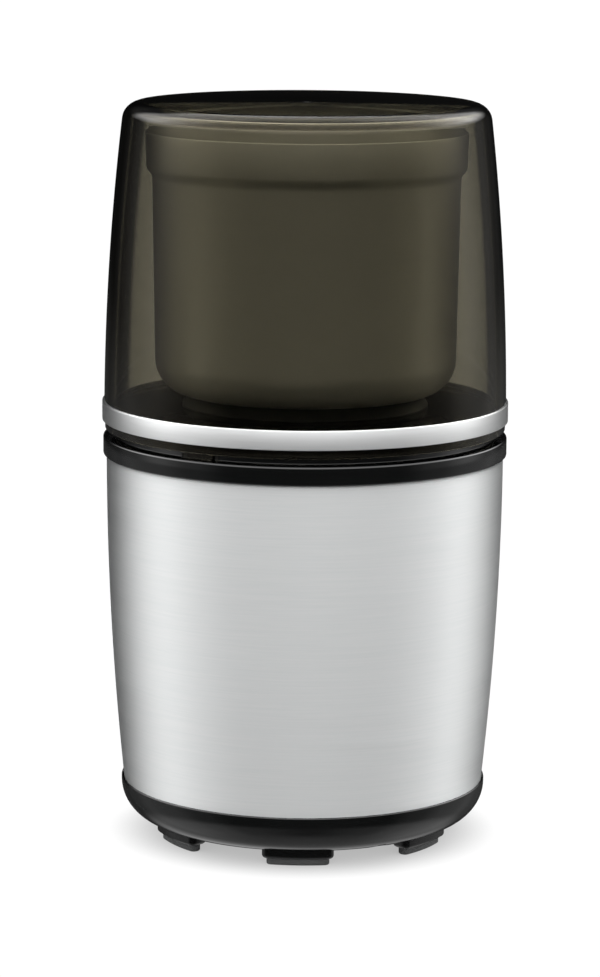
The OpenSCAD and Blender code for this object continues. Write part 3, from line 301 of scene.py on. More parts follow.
def turned(outline, steps):
    """A turned solid from (radius, height) corners in mm. A third number rounds its corner."""
    bm = bmesh.new()
    corners = [bm.verts.new((r * MM, 0, z * MM)) for r, z, *_ in outline]
    bm.faces.new(corners)
    for vert, (_, _, *rounds) in zip(corners, outline):
        if rounds:
            bmesh.ops.bevel(bm, geom=[vert], offset=rounds[0] * MM, offset_type="OFFSET",
                            segments=max(3, round(rounds[0] * 1.6)), profile=0.5,
                            affect="VERTICES", material=-1)
    bmesh.ops.delete(bm, geom=bm.faces[:], context="FACES_ONLY")
    on_axis = [edge for edge in bm.edges if all(vert.co.x < 1e-6 for vert in edge.verts)]
    bmesh.ops.delete(bm, geom=on_axis, context="EDGES")
    bmesh.ops.spin(bm, geom=bm.verts[:] + bm.edges[:], cent=(0, 0, 0), axis=(0, 0, 1),
                   dvec=(0, 0, 0), angle=math.tau, steps=steps, use_merge=True)
    bmesh.ops.remove_doubles(bm, verts=bm.verts, dist=1e-7)
    bmesh.ops.recalc_face_normals(bm, faces=bm.faces)
    return bm


def block(x, y, z, corner=0):
    """A block between two values on each axis, in mm. corner rounds its upright edges."""
    bm = bmesh.new()
    bmesh.ops.create_cube(bm, size=MM)
    bmesh.ops.scale(bm, vec=(x[1] - x[0], y[1] - y[0], z[1] - z[0]), verts=bm.verts)
    bmesh.ops.translate(bm, vec=Vector((sum(x), sum(y), sum(z))) * MM / 2, verts=bm.verts)
    if corner:
        upright = [e for e in bm.edges if abs(e.verts[0].co.z - e.verts[1].co.z) > 1e-6]
        bmesh.ops.bevel(bm, geom=upright, offset=corner * MM, offset_type="OFFSET", profile=0.5,
                        segments=6, affect="EDGES", material=-1)
    return bm


def only_verts(geom):
    """The vertices among what an operator gives back."""
    return [item for item in geom if isinstance(item, bmesh.types.BMVert)]


def rim_bar(edge, corner, z, soft=0):
    """A pad grown by edge, bent round the axis. corner rounds its ends and soft its lower edge."""
    bm = bmesh.new()
    low, high = z
    outer, inner = PAD_OUT + edge, PAD_OUT - PAD_D - edge
    half = math.asin((PAD_W / 2 + edge) / outer)
    steps = 6
    turns = [half * i / steps for i in range(-steps, steps + 1)]
    rim = [(outer, turn) for turn in turns] + [(inner, turn) for turn in reversed(turns)]
    corners = [bm.verts.new((r * math.cos(a) * MM, r * math.sin(a) * MM, low * MM)) for r, a in rim]
    bm.faces.new(corners)
    ends = [corners[i] for i in (0, 2 * steps, 2 * steps + 1, -1)]
    bmesh.ops.bevel(bm, geom=ends, offset=corner * MM, offset_type="OFFSET", profile=0.5,
                    segments=5, affect="VERTICES", material=-1)
    bmesh.ops.recalc_face_normals(bm, faces=bm.faces)
    raised = bmesh.ops.extrude_face_region(bm, geom=bm.faces[:])["geom"]
    bmesh.ops.translate(bm, vec=(0, 0, (high - low) * MM), verts=only_verts(raised))
    bmesh.ops.recalc_face_normals(bm, faces=bm.faces)
    if soft:
        floor = [e for e in bm.edges if max(v.co.z for v in e.verts) < (low + 0.01) * MM]
        bmesh.ops.bevel(bm, geom=floor, offset=soft * MM, offset_type="OFFSET", profile=0.5,
                        segments=4, affect="EDGES", material=-1)
    return bm


def around(bm, angles, radius=0):
    """Moves what the bmesh holds out to a radius in mm and repeats it at each angle in degrees."""
    first = bm.verts[:] + bm.edges[:] + bm.faces[:]
    bmesh.ops.translate(bm, vec=(radius * MM, 0, 0), verts=bm.verts)
    copies = [bmesh.ops.duplicate(bm, geom=first)["geom"] for _ in angles[1:]]
    for copy, angle in zip(copies + [first], [*angles[1:], angles[0]]):
        bmesh.ops.rotate(bm, verts=only_verts(copy), cent=(0, 0, 0),
                         matrix=Matrix.Rotation(math.radians(angle), 3, "Z"))
    return bm


def piece(name, bm):
    """The object of a bmesh, which is freed."""
    thing = bpy.data.objects.new(name, bpy.data.meshes.new(name))
    bm.to_mesh(thing.data)
    bm.free()
    scene.collection.objects.link(thing)
    return thing


def carve(thing, bm, operation="DIFFERENCE"):
    """Cuts a bmesh out of an object, or joins it on with UNION."""
    tool = piece("tool", bm)
    cut = thing.modifiers.new("cut", "BOOLEAN")
    cut.operation = operation
    cut.solver = "MANIFOLD"
    cut.object = tool
    seen = thing.evaluated_get(bpy.context.evaluated_depsgraph_get())
    thing.data = bpy.data.meshes.new_from_object(seen)
    thing.modifiers.clear()
    bpy.data.objects.remove(tool)


def dress(thing, body, slot, material, *nodes):
    """Shades a finished piece and gives it its finish, its body and the CAD nodes it stands for."""
    thing.data.shade_smooth()
    thing.data.set_sharp_from_angle(angle=CREASE)
    thing.data.materials.clear()
    thing.data.materials.append(material)
    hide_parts(*nodes)
    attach(thing, body)


def paint_nodes(material, *nodes):
    """Gives CAD nodes their finish."""
    for node in nodes:
        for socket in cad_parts[node].material_slots:
            socket.material = material


def new_material(name):
    """An empty material and its node tree."""
    material = bpy.data.materials.new(name)
    material.use_nodes = True
    material.node_tree.nodes.clear()
    return material, material.node_tree


def spot_size(mm):
    """The noise scale whose spots are about so many mm wide."""
    return 1 / (mm * MM)


# Injection-moulded ABS, black all through, from a polished mould: a clear dark mirror.
# It is broken by faint flow marks and by fine scuffs a fraction of a millimetre wide.
glossy_abs, tree = new_material("glossy_black_abs")
spot = put(tree, "TexCoord").outputs["Object"]
flow = put(tree, "TexNoise", Vector=spot, Scale=spot_size(14),
           Detail=3, Roughness=0.5).outputs["Fac"]
scuff = put(tree, "TexNoise", Vector=spot, Scale=spot_size(0.6),
            Detail=4, Roughness=0.6).outputs["Fac"]
tone = put(tree, "MapRange", Value=flow, From_Min=0.3, From_Max=0.7, To_Min=0, To_Max=1).outputs[0]
colour = put(tree, "Mix", {"data_type": "RGBA"}, i0=tone,
             i6=srgb("090a0a"), i7=srgb("0c0d0d")).outputs[2]
gloss = put(tree, "MapRange", Value=scuff, From_Min=0.3, From_Max=0.75,
            To_Min=0.08, To_Max=0.14).outputs[0]
relief = put(tree, "Bump", Strength=0.05, Distance=0.0001, Height=flow).outputs[0]
put(tree, "OutputMaterial", Surface=put(
    tree, "BsdfPrincipled", Base_Color=colour, Roughness=gloss, IOR=1.52, Normal=relief).outputs[0])

spigot_in = SPIGOT_R - SPIGOT_WALL
dish = piece("dish_moulding", turned([
    (0, FOOT_H), (DISH_R, FOOT_H, DISH_EDGE), (DISH_R, DISH_RIM, 0.3),
    (DISH_R - DISH_LIP, DISH_RIM), (DISH_R - DISH_LIP, SLEEVE_LOW), (SPIGOT_R, SLEEVE_LOW),
    (SPIGOT_R, SPIGOT_TOP, 0.5), (spigot_in, SPIGOT_TOP),
    (spigot_in, DISH_FLOOR, DISH_EDGE - DISH_WALL), (0, DISH_FLOOR)], 240))
root = DISH_FLOOR - 1
carve(dish, around(rim_bar(BOSS_EDGE, 2, (PAD_H, DISH_FLOOR - 0.4), 0.9), FEET), "UNION")
carve(dish, around(turned([
    (0, root), (STUB_R, root), (STUB_R, PILLAR_LOW, 0.5), (0, PILLAR_LOW)], 48),
    PILLARS, PILLAR_R), "UNION")
gland_out = DISH_R + 0.1
carve(dish, block((-GLAND_BOSS, GLAND_BOSS), (gland_out - GLAND_DEPTH, gland_out),
                  (GLAND_Z - GLAND_BOSS, GLAND_Z + GLAND_BOSS)), "UNION")
carve(dish, turned([(AIR_RING_IN, root), (AIR_RING_OUT, root), (AIR_RING_OUT, AIR_RING_TOP, 0.4),
                    (AIR_RING_IN, AIR_RING_TOP, 0.4)], 96), "UNION")
carve(dish, around(turned([
    (0, FOOT_H - 1), (WELL_R, FOOT_H - 1), (WELL_R, WELL_TOP), (0, WELL_TOP)], 48),
    PILLARS, PILLAR_R))
carve(dish, around(turned([
    (0, FOOT_H), (SCREW_HOLE_R, FOOT_H), (SCREW_HOLE_R, PILLAR_LOW + 1), (0, PILLAR_LOW + 1)], 32),
    PILLARS, PILLAR_R))
for apart, reach in SLOT_RINGS.items():
    carve(dish, around(block(reach, (-SLOT_HALF, SLOT_HALF), (FOOT_H - 1, DISH_FLOOR + 1),
                             SLOT_CORNER), range(0, 360, apart)))
carve(dish, block((-GLAND_WINDOW, GLAND_WINDOW), (DISH_R - 1 - GLAND_DEPTH, DISH_R + 1),
                  (GLAND_Z - GLAND_WINDOW, GLAND_Z + GLAND_WINDOW)))
dress(dish, "base", "black_moulding", glossy_abs, "base_dish")

# ---------------------------------------------------------------- feet, gland and base screws
# Six grey rubber pads are plugged into the bosses of the dish, and a rubber gland sits in its
# window. Four pan-head screws go up through the wells.
PEG_HALF = 1.1
PEG_TOP = 4.3

# Moulded rubber: a dull bloomed grey that spreads its highlight, with a fine grain.
rubber, tree = new_material("moulded_rubber")
spot = put(tree, "TexCoord").outputs["Object"]
bloom = put(tree, "TexNoise", Vector=spot, Scale=spot_size(5),
            Detail=4, Roughness=0.6).outputs["Fac"]
grain = put(tree, "TexNoise", Vector=spot, Scale=spot_size(0.25),
            Detail=2, Roughness=0.5).outputs["Fac"]
tone = put(tree, "MapRange", Value=bloom, From_Min=0.3, From_Max=0.7, To_Min=0, To_Max=1).outputs[0]
colour = put(tree, "Mix", {"data_type": "RGBA"}, i0=tone,
             i6=srgb("464747"), i7=srgb("505151")).outputs[2]
gloss = put(tree, "MapRange", Value=grain, To_Min=0.55, To_Max=0.7).outputs[0]
relief = put(tree, "Bump", Strength=0.2, Distance=0.00005, Height=grain).outputs[0]
put(tree, "OutputMaterial", Surface=put(
    tree, "BsdfPrincipled", Base_Color=colour, Roughness=gloss, IOR=1.5, Normal=relief).outputs[0])

pegs = [foot + turn for foot in FEET for turn in (-PEG_TURN, PEG_TURN)]
pads = piece("rubber_pads", around(rim_bar(0, 1.5, (0, PAD_H), 0.5), FEET))
carve(pads, around(turned([(0, 1), (PEG_HALF, 1), (PEG_HALF, PEG_TOP, 0.3), (0, PEG_TOP)], 24),
                   pegs, PEG_R), "UNION")
dress(pads, "base", "rubber", rubber, "foot_pads")
paint_nodes(rubber, "cord_gland", "motor_isolators", "shaft_seal")

# Zinc-plated and ground steel: a cool bright metal, fine turning marks drawn coarser than they are.
ground_steel, tree = new_material("ground_steel")
spot = put(tree, "TexCoord").outputs["Object"]
fine = put(tree, "Mapping", Vector=spot, Scale=(0.15, 0.15, 1)).outputs[0]
marks = put(tree, "TexNoise", Vector=fine, Scale=spot_size(0.3),
            Detail=3, Roughness=0.6).outputs["Fac"]
gloss = put(tree, "MapRange", Value=marks, To_Min=0.22, To_Max=0.36).outputs[0]
colour = put(tree, "Mix", {"data_type": "RGBA"}, i0=marks,
             i6=srgb("bfc1c4"), i7=srgb("d2d3d4")).outputs[2]
put(tree, "OutputMaterial", Surface=put(
    tree, "BsdfPrincipled", Base_Color=colour, Metallic=1, Roughness=gloss).outputs[0])
paint_nodes(ground_steel, "base_screws")

# ---------------------------------------------------------------- motor
# A universal motor hangs from the housing: two die-cast brackets bolted through a laminated
# stator, an armature on a ground shaft, carbon brushes in phenolic holders and a nylon fan.

# Die-cast and turned aluminium: grey-white metal with a fine sandy grain.
cast_aluminium, tree = new_material("cast_aluminium")
spot = put(tree, "TexCoord").outputs["Object"]
grain = put(tree, "TexNoise", Vector=spot, Scale=spot_size(0.5),
            Detail=4, Roughness=0.6).outputs["Fac"]
colour = put(tree, "Mix", {"data_type": "RGBA"}, i0=grain,
             i6=srgb("a9abad"), i7=srgb("c4c5c6")).outputs[2]
gloss = put(tree, "MapRange", Value=grain, To_Min=0.34, To_Max=0.5).outputs[0]
relief = put(tree, "Bump", Strength=0.25, Distance=0.00008, Height=grain).outputs[0]
put(tree, "OutputMaterial", Surface=put(
    tree, "BsdfPrincipled", Base_Color=colour, Metallic=1, Roughness=gloss,
    Normal=relief).outputs[0])
paint_nodes(cast_aluminium, "upper_bracket", "lower_bracket", "support_pillars", "motor_posts",
            "bearing_housing")

# Sheet-steel laminations, pressed into a stack: dark blued steel with a line every half millimetre.
laminated_steel, tree = new_material("laminated_steel")
spot = put(tree, "TexCoord").outputs["Object"]
sheets = put(tree, "TexWave", {"bands_direction": "Z"}, Vector=spot,
             Scale=math.tau / 20 * spot_size(0.5),
             Distortion=0.3, Detail=1).outputs["Fac"]
colour = put(tree, "Mix", {"data_type": "RGBA"}, i0=sheets,
             i6=srgb("4c5056"), i7=srgb("7c8086")).outputs[2]
relief = put(tree, "Bump", Strength=0.4, Distance=0.0001, Height=sheets).outputs[0]
put(tree, "OutputMaterial", Surface=put(
    tree, "BsdfPrincipled", Base_Color=colour, Metallic=1, Roughness=0.45,
    Normal=relief).outputs[0])
paint_nodes(laminated_steel, "stator_core", "armature_core")

# Enamelled copper wire, wound in layers: warm orange metal in fine ridges.
wound_copper, tree = new_material("enamelled_copper")
spot = put(tree, "TexCoord").outputs["Object"]
wires = put(tree, "TexWave", {"wave_type": "RINGS", "rings_direction": "Z"}, Vector=spot,
            Scale=math.tau / 20 * spot_size(0.6), Distortion=0.8, Detail=2).outputs["Fac"]
colour = put(tree, "Mix", {"data_type": "RGBA"}, i0=wires,
             i6=srgb("8e4a26"), i7=srgb("cf8148")).outputs[2]
relief = put(tree, "Bump", Strength=0.5, Distance=0.00015, Height=wires).outputs[0]
put(tree, "OutputMaterial", Surface=put(
    tree, "BsdfPrincipled", Base_Color=colour, Metallic=1, Roughness=0.32,
    Normal=relief).outputs[0])
paint_nodes(wound_copper, "field_coils", "armature_windings", "commutator")

# Sintered bronze: a brown-gold metal, matt and speckled with open pores.
sintered_bronze, tree = new_material("sintered_bronze")
spot = put(tree, "TexCoord").outputs["Object"]
pores = put(tree, "TexNoise", Vector=spot, Scale=spot_size(0.35),
            Detail=3, Roughness=0.7).outputs["Fac"]
colour = put(tree, "Mix", {"data_type": "RGBA"}, i0=pores,
             i6=srgb("8a6238"), i7=srgb("c99c62")).outputs[2]
put(tree, "OutputMaterial", Surface=put(
    tree, "BsdfPrincipled", Base_Color=colour, Metallic=1, Roughness=0.5).outputs[0])
paint_nodes(sintered_bronze, "bowl_bush", "motor_bearings")

# Phenolic resin: a red-brown moulding mottled by its wood-flour filler.
phenolic, tree = new_material("brown_phenolic")
spot = put(tree, "TexCoord").outputs["Object"]
mottle = put(tree, "TexNoise", Vector=spot, Scale=spot_size(1.2),
             Detail=4, Roughness=0.6).outputs["Fac"]
colour = put(tree, "Mix", {"data_type": "RGBA"}, i0=mottle,
             i6=srgb("4a2815"), i7=srgb("8a5230")).outputs[2]
put(tree, "OutputMaterial", Surface=put(
    tree, "BsdfPrincipled", Base_Color=colour, Roughness=0.4).outputs[0])
paint_nodes(phenolic, "brush_holders")

# Pressed carbon: near black, with a graphite sheen.
pressed_carbon, tree = new_material("pressed_carbon")
spot = put(tree, "TexCoord").outputs["Object"]
specks = put(tree, "TexNoise", Vector=spot, Scale=spot_size(0.3),
             Detail=2, Roughness=0.6).outputs["Fac"]
colour = put(tree, "Mix", {"data_type": "RGBA"}, i0=specks,
             i6=srgb("1c1d20"), i7=srgb("35363a")).outputs[2]
put(tree, "OutputMaterial", Surface=put(
    tree, "BsdfPrincipled", Base_Color=colour, Metallic=0.4, Roughness=0.42).outputs[0])
paint_nodes(pressed_carbon, "carbon_brushes")

# Natural nylon: an off-white moulding, slightly cloudy.
natural_nylon, tree = new_material("natural_nylon")
spot = put(tree, "TexCoord").outputs["Object"]
cloud = put(tree, "TexNoise", Vector=spot, Scale=spot_size(6),
            Detail=3, Roughness=0.5).outputs["Fac"]
colour = put(tree, "Mix", {"data_type": "RGBA"}, i0=cloud,
             i6=srgb("d3d1c6"), i7=srgb("e4e2d8")).outputs[2]
put(tree, "OutputMaterial", Surface=put(
    tree, "BsdfPrincipled", Base_Color=colour, Roughness=0.42).outputs[0])
paint_nodes(natural_nylon, "cooling_fan", "start_plungers", "terminal_block", "thermal_cutout")
paint_nodes(ground_steel, "motor_shaft", "motor_bolts", "bolt_nuts", "isolator_screws",
            "brush_springs")
paint_nodes(glossy_abs, "drive_coupling", "drive_dog")

# Red acetal, moulded: an even red with a faint cloudiness.
red_button, tree = new_material("red_acetal")
spot = put(tree, "TexCoord").outputs["Object"]
cloud = put(tree, "TexNoise", Vector=spot, Scale=spot_size(1.5),
            Detail=2, Roughness=0.5).outputs["Fac"]
colour = put(tree, "Mix", {"data_type": "RGBA"}, i0=cloud,
             i6=srgb("a81f18"), i7=srgb("c22d22")).outputs[2]
put(tree, "OutputMaterial", Surface=put(
    tree, "BsdfPrincipled", Base_Color=colour, Roughness=0.35).outputs[0])
paint_nodes(red_button, "switch_buttons")

# Flexible PVC over stranded wire, extruded in deep red.
red_cover, tree = new_material("red_pvc_cover")
spot = put(tree, "TexCoord").outputs["Object"]
cloud = put(tree, "TexNoise", Vector=spot, Scale=spot_size(3),
            Detail=2, Roughness=0.5).outputs["Fac"]
colour = put(tree, "Mix", {"data_type": "RGBA"}, i0=cloud,
             i6=srgb("8e1f1c"), i7=srgb("a52a25")).outputs[2]
put(tree, "OutputMaterial", Surface=put(
    tree, "BsdfPrincipled", Base_Color=colour, Roughness=0.3).outputs[0])
paint_nodes(red_cover, "internal_leads")
paint_nodes(glossy_abs, "start_switches")
paint_nodes(ground_steel, "plunger_springs", "switch_screws")
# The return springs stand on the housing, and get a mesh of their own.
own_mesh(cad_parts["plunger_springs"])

# ---------------------------------------------------------------- top housing
# Collar, deck and bowl seat are one black ABS moulding. Its collar clamps the top of the steel
# sleeve, its seat has key slots for the bowl's foot, and two slots take the tabs of the lid.
COLLAR_LOW = 104.0
COLLAR_R = 54.2
RIM = 109.1
DECK = 117.7
DECK_T = 2.8
DRUM_R = 51.0
DRUM_IN = 48.5
SEAT = 112.2
SEAT_R = 33.32
HOLE_R = 9.5
DRIP_T = 2
DRIP_H = 2.5
SLEEVE_TOP = 104.5
SLEEVE_R = 53.3
SLEEVE_GAP = 0.12
PLUG_R = 52.25
PLUG_IN = 50.05
PLUG_LOW = 95.0
# Under each of the lid's tabs: the plunger's guide, the wall that holds its switch, and a web
# between the two. Each is given by its reach out from the axis, half its width and its heights.
TABS = (60, 240)
PLUNGER_R = 48.2
TAB_LOW = 108.0
GUIDE_R = 4.05
GUIDE_LOW = 94.5
SPRING_BORE_R = 3.2
SPRING_SEAT = 97.6
PIN_BORE_R = 1.55
BORE_TOP = 107
SWITCH_WALL = (37.5, 40.1)
SWITCH_WALL_HALF = 10
SWITCH_WALL_LOW = 76
WEB_IN = 39
WEB_HALF = 2
WEB_Z = (96.5, 105)
# Cut into the housing: key slots for the bowl's foot, and a pocket and a slot for each tab.
KEYS = (30, 150, 270)
KEY_SLOT = (31, 35.52)
KEY_HALF = 3.35
POCKET = (45.6, 53.15)
POCKET_HALF = 4.85
POCKET_LOW = 104.6
TAB_SLOT = (51.25, 53.35)
TAB_SLOT_HALF = 5.1

housing = piece("housing_moulding", turned([
    (SLEEVE_R + SLEEVE_GAP, COLLAR_LOW), (COLLAR_R, COLLAR_LOW, 0.5), (COLLAR_R, RIM, 0.6),
    (DRUM_R, RIM, 0.3), (DRUM_R, DECK, 1), (SEAT_R, DECK, 0.8), (SEAT_R, SEAT, 0.5),
    (HOLE_R + DRIP_T, SEAT, 0.3), (HOLE_R + DRIP_T, SEAT + DRIP_H, 0.5),
    (HOLE_R, SEAT + DRIP_H, 0.4), (HOLE_R, SEAT - DECK_T), (SEAT_R + DECK_T, SEAT - DECK_T),
    (SEAT_R + DECK_T, DECK - DECK_T), (DRUM_IN, DECK - DECK_T), (DRUM_IN, RIM - 3),
    (PLUG_IN, RIM - 4.6), (PLUG_IN, PLUG_LOW), (PLUG_R, PLUG_LOW, 0.4), (PLUG_R, SLEEVE_TOP),
    (SLEEVE_R + SLEEVE_GAP, SLEEVE_TOP)], 240))
guides = piece("guides", around(turned([
    (0, GUIDE_LOW), (GUIDE_R, GUIDE_LOW), (GUIDE_R, TAB_LOW), (0, TAB_LOW)], 48), TABS, PLUNGER_R))
carve(guides, around(block(SWITCH_WALL, (-SWITCH_WALL_HALF, SWITCH_WALL_HALF),
                           (SWITCH_WALL_LOW, DECK - DECK_T + 0.5)), TABS), "UNION")
carve(guides, around(block((WEB_IN, PLUG_IN + 1), (-WEB_HALF, WEB_HALF), WEB_Z), TABS), "UNION")
joined = bmesh.new()
joined.from_mesh(guides.data)
bpy.data.objects.remove(guides)
carve(housing, joined, "UNION")
carve(housing, around(block(KEY_SLOT, (-KEY_HALF, KEY_HALF), (SEAT, DECK + 1)), KEYS))
carve(housing, around(block(POCKET, (-POCKET_HALF, POCKET_HALF), (POCKET_LOW, TAB_LOW)), TABS))
carve(housing, around(block(TAB_SLOT, (-TAB_SLOT_HALF, TAB_SLOT_HALF), (POCKET_LOW, RIM + 1),
                            0.6), TABS))
for bore, low, steps in ((SPRING_BORE_R, SPRING_SEAT, 48), (PIN_BORE_R, GUIDE_LOW - 0.5, 32)):
    carve(housing, around(turned([(0, low), (bore, low), (bore, BORE_TOP), (0, BORE_TOP)], steps),
                          TABS, PLUNGER_R))
dress(housing, "base", "black_moulding", glossy_abs, "top_housing")

# ---------------------------------------------------------------- steel sleeve
# Stainless sheet, rolled to a tube, drawn in towards the base and brushed round the body.
# Its hem is notched over the cord gland, and dish and collar clamp it at both ends.
SLEEVE_BOW = 860
SLEEVE_WALL = 0.8
NOTCH_HALF = 5.3
NOTCH_REACH = (40, 60)
NOTCH_TOP = GLAND_Z + 5.2


def sleeve_r(z):
    """Outer radius of the sleeve at a height: a long arc that is widest under the collar."""
    return min(SLEEVE_R, SLEEVE_R - SLEEVE_BOW + math.sqrt(SLEEVE_BOW ** 2 - (COLLAR_LOW - z) ** 2))


# Brushed stainless steel: grey-white metal whose grooves run round the body, so its highlights
# are drawn out up and down. The grooves are drawn 0.5 mm wide, coarser than they are.
brushed_steel, tree = new_material("brushed_stainless")
spot = put(tree, "TexCoord").outputs["Object"]
groove = put(tree, "Mapping", Vector=spot, Scale=(0.02, 0.02, 1)).outputs[0]
streak = put(tree, "TexNoise", Vector=groove, Scale=spot_size(0.5),
             Detail=3, Roughness=0.65).outputs["Fac"]
broad = put(tree, "Mapping", Vector=spot, Scale=(0.06, 0.06, 1)).outputs[0]
patch = put(tree, "TexNoise", Vector=broad, Scale=spot_size(3),
            Detail=2, Roughness=0.5).outputs["Fac"]
line = put(tree, "MapRange", Value=streak, From_Min=0.35, From_Max=0.65,
           To_Min=0, To_Max=1).outputs[0]
colour = put(tree, "Mix", {"data_type": "RGBA"}, i0=line,
             i6=srgb("d6d8d8"), i7=srgb("dadbdb")).outputs[2]
gloss = put(tree, "MapRange", Value=patch, From_Min=0.3, From_Max=0.7,
            To_Min=0.5, To_Max=0.56).outputs[0]
around_axis = put(tree, "Tangent", {"direction_type": "RADIAL", "axis": "Z"}).outputs[0]
relief = put(tree, "Bump", Strength=0.06, Distance=0.00003, Height=streak).outputs[0]
put(tree, "OutputMaterial", Surface=put(
    tree, "BsdfPrincipled", Base_Color=colour, Metallic=1, Roughness=gloss, Anisotropic=0.9,
    Anisotropic_Rotation=0.25, Tangent=around_axis, Normal=relief).outputs[0])

levels = [SLEEVE_LOW + (SLEEVE_TOP - SLEEVE_LOW) * i / 24 for i in range(25)]
sleeve = piece("sleeve_tube", turned(
    [(sleeve_r(z), z) for z in levels]
    + [(sleeve_r(z) - SLEEVE_WALL, z) for z in reversed(levels)], 256))
carve(sleeve, block((-NOTCH_HALF, NOTCH_HALF), NOTCH_REACH, (SLEEVE_LOW - 1, NOTCH_TOP)))
dress(sleeve, "base", "sleeve_steel", brushed_steel, "steel_sleeve")

# ---------------------------------------------------------------- bowl and blade
# The bowl is deep-drawn stainless steel with a wider stepped rim, softly brushed outside.
# A turned housing clamps it to its black foot and carries the blade's spindle.
BOWL_LOW = 120.7
BOWL_RIM = 190.5
BOWL_RIM_R = 42.97
BOWL_R = 41.07
BOWL_TAPER = 0.9
BOWL_CORNER = 9
BOWL_WALL = 0.7
STEP = 180.0
STEP_OUT = 1.6
STEP_ROUND = 0.8
HUB_R = 8.05

# Drawn stainless steel, softly brushed round the bowl: a warmer, duller grey than the sleeve.
drawn_steel, tree = new_material("drawn_stainless")
spot = put(tree, "TexCoord").outputs["Object"]
groove = put(tree, "Mapping", Vector=spot, Scale=(0.03, 0.03, 1)).outputs[0]
streak = put(tree, "TexNoise", Vector=groove, Scale=spot_size(0.7),
             Detail=3, Roughness=0.6).outputs["Fac"]
colour = put(tree, "Mix", {"data_type": "RGBA"}, i0=streak,
             i6=srgb("cdccc9"), i7=srgb("d6d5d2")).outputs[2]
gloss = put(tree, "MapRange", Value=streak, To_Min=0.42, To_Max=0.5).outputs[0]
around_axis = put(tree, "Tangent", {"direction_type": "RADIAL", "axis": "Z"}).outputs[0]
put(tree, "OutputMaterial", Surface=put(
    tree, "BsdfPrincipled", Base_Color=colour, Metallic=1, Roughness=gloss, Anisotropic=0.9,
    Anisotropic_Rotation=0.25, Tangent=around_axis).outputs[0])

low_r = BOWL_R - BOWL_TAPER
step_r = BOWL_R + STEP_OUT
bowl = piece("bowl_pressing", turned([
    (HUB_R, BOWL_LOW), (low_r, BOWL_LOW, BOWL_CORNER), (BOWL_R, STEP - 1.1, STEP_ROUND),
    (step_r, STEP + 0.7, STEP_ROUND), (BOWL_RIM_R, BOWL_RIM, 0.25),
    (BOWL_RIM_R - BOWL_WALL, BOWL_RIM, 0.25), (step_r - BOWL_WALL, STEP + 0.9, STEP_ROUND),
    (BOWL_R - BOWL_WALL, STEP - 0.9, STEP_ROUND),
    (low_r - BOWL_WALL, BOWL_LOW + BOWL_WALL, BOWL_CORNER - BOWL_WALL),
    (HUB_R, BOWL_LOW + BOWL_WALL)], 240))
dress(bowl, "bowl", "bowl_steel", drawn_steel, "grinding_bowl")
paint_nodes(ground_steel, "blade_shaft", "blade_washer", "blade_nut", "blade")

# ABS from a spark-eroded mould, for the bowl's foot: a soft, dull black with a fine grain.
satin_abs, tree = new_material("satin_black_abs")
spot = put(tree, "TexCoord").outputs["Object"]
grain = put(tree, "TexNoise", Vector=spot, Scale=spot_size(0.3),
            Detail=3, Roughness=0.6).outputs["Fac"]
colour = put(tree, "Mix", {"data_type": "RGBA"}, i0=grain,
             i6=srgb("101111"), i7=srgb("171818")).outputs[2]
gloss = put(tree, "MapRange", Value=grain, To_Min=0.5, To_Max=0.62).outputs[0]
relief = put(tree, "Bump", Strength=0.2, Distance=0.00005, Height=grain).outputs[0]
put(tree, "OutputMaterial", Surface=put(
    tree, "BsdfPrincipled", Base_Color=colour, Roughness=gloss, IOR=1.52, Normal=relief).outputs[0])
paint_nodes(satin_abs, "bowl_foot")

# ---------------------------------------------------------------- lid
# The lid is one smoked see-through moulding, drawn in towards the top, with an inner rib over the
# rim of the bowl. Its two tabs reach into the collar and press the plungers.
LID_R = 53.95
LID_BOW = 709
LID_LOW = 110.9
LID_TOP = 198
LID_WALL = 2.5
BAND_LOW = 113.3
BAND_TOP = 118.45
BAND_SEAT = 0.45
SHOULDER = 193.2
SHOULDER_ROUND = 4.1
ROOF_ROUND = 2
RIB_R = 43.57
RIB_T = 1.5
RIB_LOW = 193.9
DIMPLE_R = 2.2
DIMPLE_FLOOR_R = 0.9
DIMPLE = 0.5
TAB = (51.6, 53.0)
TAB_HALF = 4.75


def lid_r(z):
    """Outer radius of the lid at a height: a long arc that is widest at the lip."""
    return LID_R - LID_BOW + math.sqrt(LID_BOW ** 2 - (z - LID_LOW) ** 2)


# Smoked styrene acrylonitrile, polished: a clear grey-olive plastic. The tint sits in its body, so
# that thick parts and walls seen edge-on go nearly black.
smoked_san, tree = new_material("smoked_clear_san")
put(tree, "OutputMaterial", Surface=put(
    tree, "BsdfPrincipled", Base_Color=(1, 1, 1, 1), Roughness=0.02, IOR=1.56,
    Transmission_Weight=1, Specular_Tint=(0.3, 0.27, 0.22, 1)).outputs[0],
    Volume=put(tree, "VolumeAbsorption", Color=(0.225, 0.185, 0.02, 1), Density=415).outputs[0])

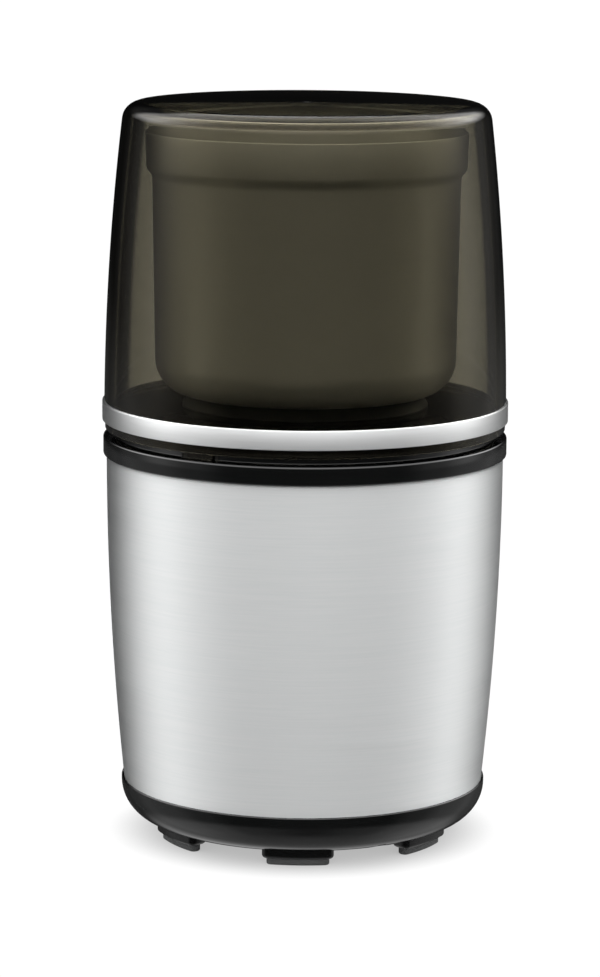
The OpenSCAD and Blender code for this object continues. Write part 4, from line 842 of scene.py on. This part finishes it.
roof = LID_TOP - LID_WALL
skirt_r = LID_R - 0.25
outside = [BAND_TOP + (SHOULDER - BAND_TOP) * i / 16 for i in range(17)]
inside = [LID_LOW + 0.4 + (SHOULDER - LID_LOW - 0.4) * i / 16 for i in range(17)]
lid = piece("lid_moulding", turned(
    [(LID_R - LID_WALL + 0.4, LID_LOW), (skirt_r, LID_LOW, 0.4), (skirt_r, BAND_LOW),
     (LID_R - BAND_SEAT, BAND_LOW), (LID_R - BAND_SEAT, BAND_TOP)]
    + [(lid_r(z), z) for z in outside]
    + [(lid_r(LID_TOP) - 0.02, LID_TOP, SHOULDER_ROUND), (DIMPLE_R, LID_TOP, 0.15),
       (DIMPLE_FLOOR_R, LID_TOP - DIMPLE), (0, LID_TOP - DIMPLE), (0, roof), (RIB_R, roof, 0.3),
       (RIB_R, RIB_LOW, 0.4), (RIB_R + RIB_T, RIB_LOW, 0.4), (RIB_R + RIB_T, roof),
       (lid_r(roof) - LID_WALL, roof, ROOF_ROUND)]
    + [(lid_r(z) - LID_WALL, z) for z in reversed(inside)], 256))
carve(lid, around(block(TAB, (-TAB_HALF, TAB_HALF), (TAB_LOW, LID_LOW + 1), 0.3), TABS), "UNION")
dress(lid, "lid", "smoked_clear", smoked_san, "lid_shell")

# ---------------------------------------------------------------- lid band
# A thin aluminium ring, turned, brushed and anodised. It is sprung into a shallow groove round the
# lid, just above the lid's lip.
BAND_OUT = 54.47

# Satin anodised aluminium: a pale, even silver whose fine grooves run round the band.
satin_silver, tree = new_material("satin_anodised_silver")
spot = put(tree, "TexCoord").outputs["Object"]
groove = put(tree, "Mapping", Vector=spot, Scale=(0.02, 0.02, 1)).outputs[0]
streak = put(tree, "TexNoise", Vector=groove, Scale=spot_size(0.4),
             Detail=2, Roughness=0.6).outputs["Fac"]
colour = put(tree, "Mix", {"data_type": "RGBA"}, i0=streak,
             i6=srgb("e2e3e3"), i7=srgb("e8e9e9")).outputs[2]
gloss = put(tree, "MapRange", Value=streak, To_Min=0.36, To_Max=0.42).outputs[0]
around_axis = put(tree, "Tangent", {"direction_type": "RADIAL", "axis": "Z"}).outputs[0]
put(tree, "OutputMaterial", Surface=put(
    tree, "BsdfPrincipled", Base_Color=colour, Metallic=1, Roughness=gloss, Anisotropic=0.8,
    Anisotropic_Rotation=0.25, Tangent=around_axis).outputs[0])
band_in = LID_R - BAND_SEAT + 0.02
band = piece("trim_band", turned([
    (band_in, BAND_LOW), (BAND_OUT, BAND_LOW, 0.2), (BAND_OUT, BAND_TOP, 0.25),
    (band_in, BAND_TOP)], 256))
dress(band, "lid", "silver_trim", satin_silver, "lid_band")
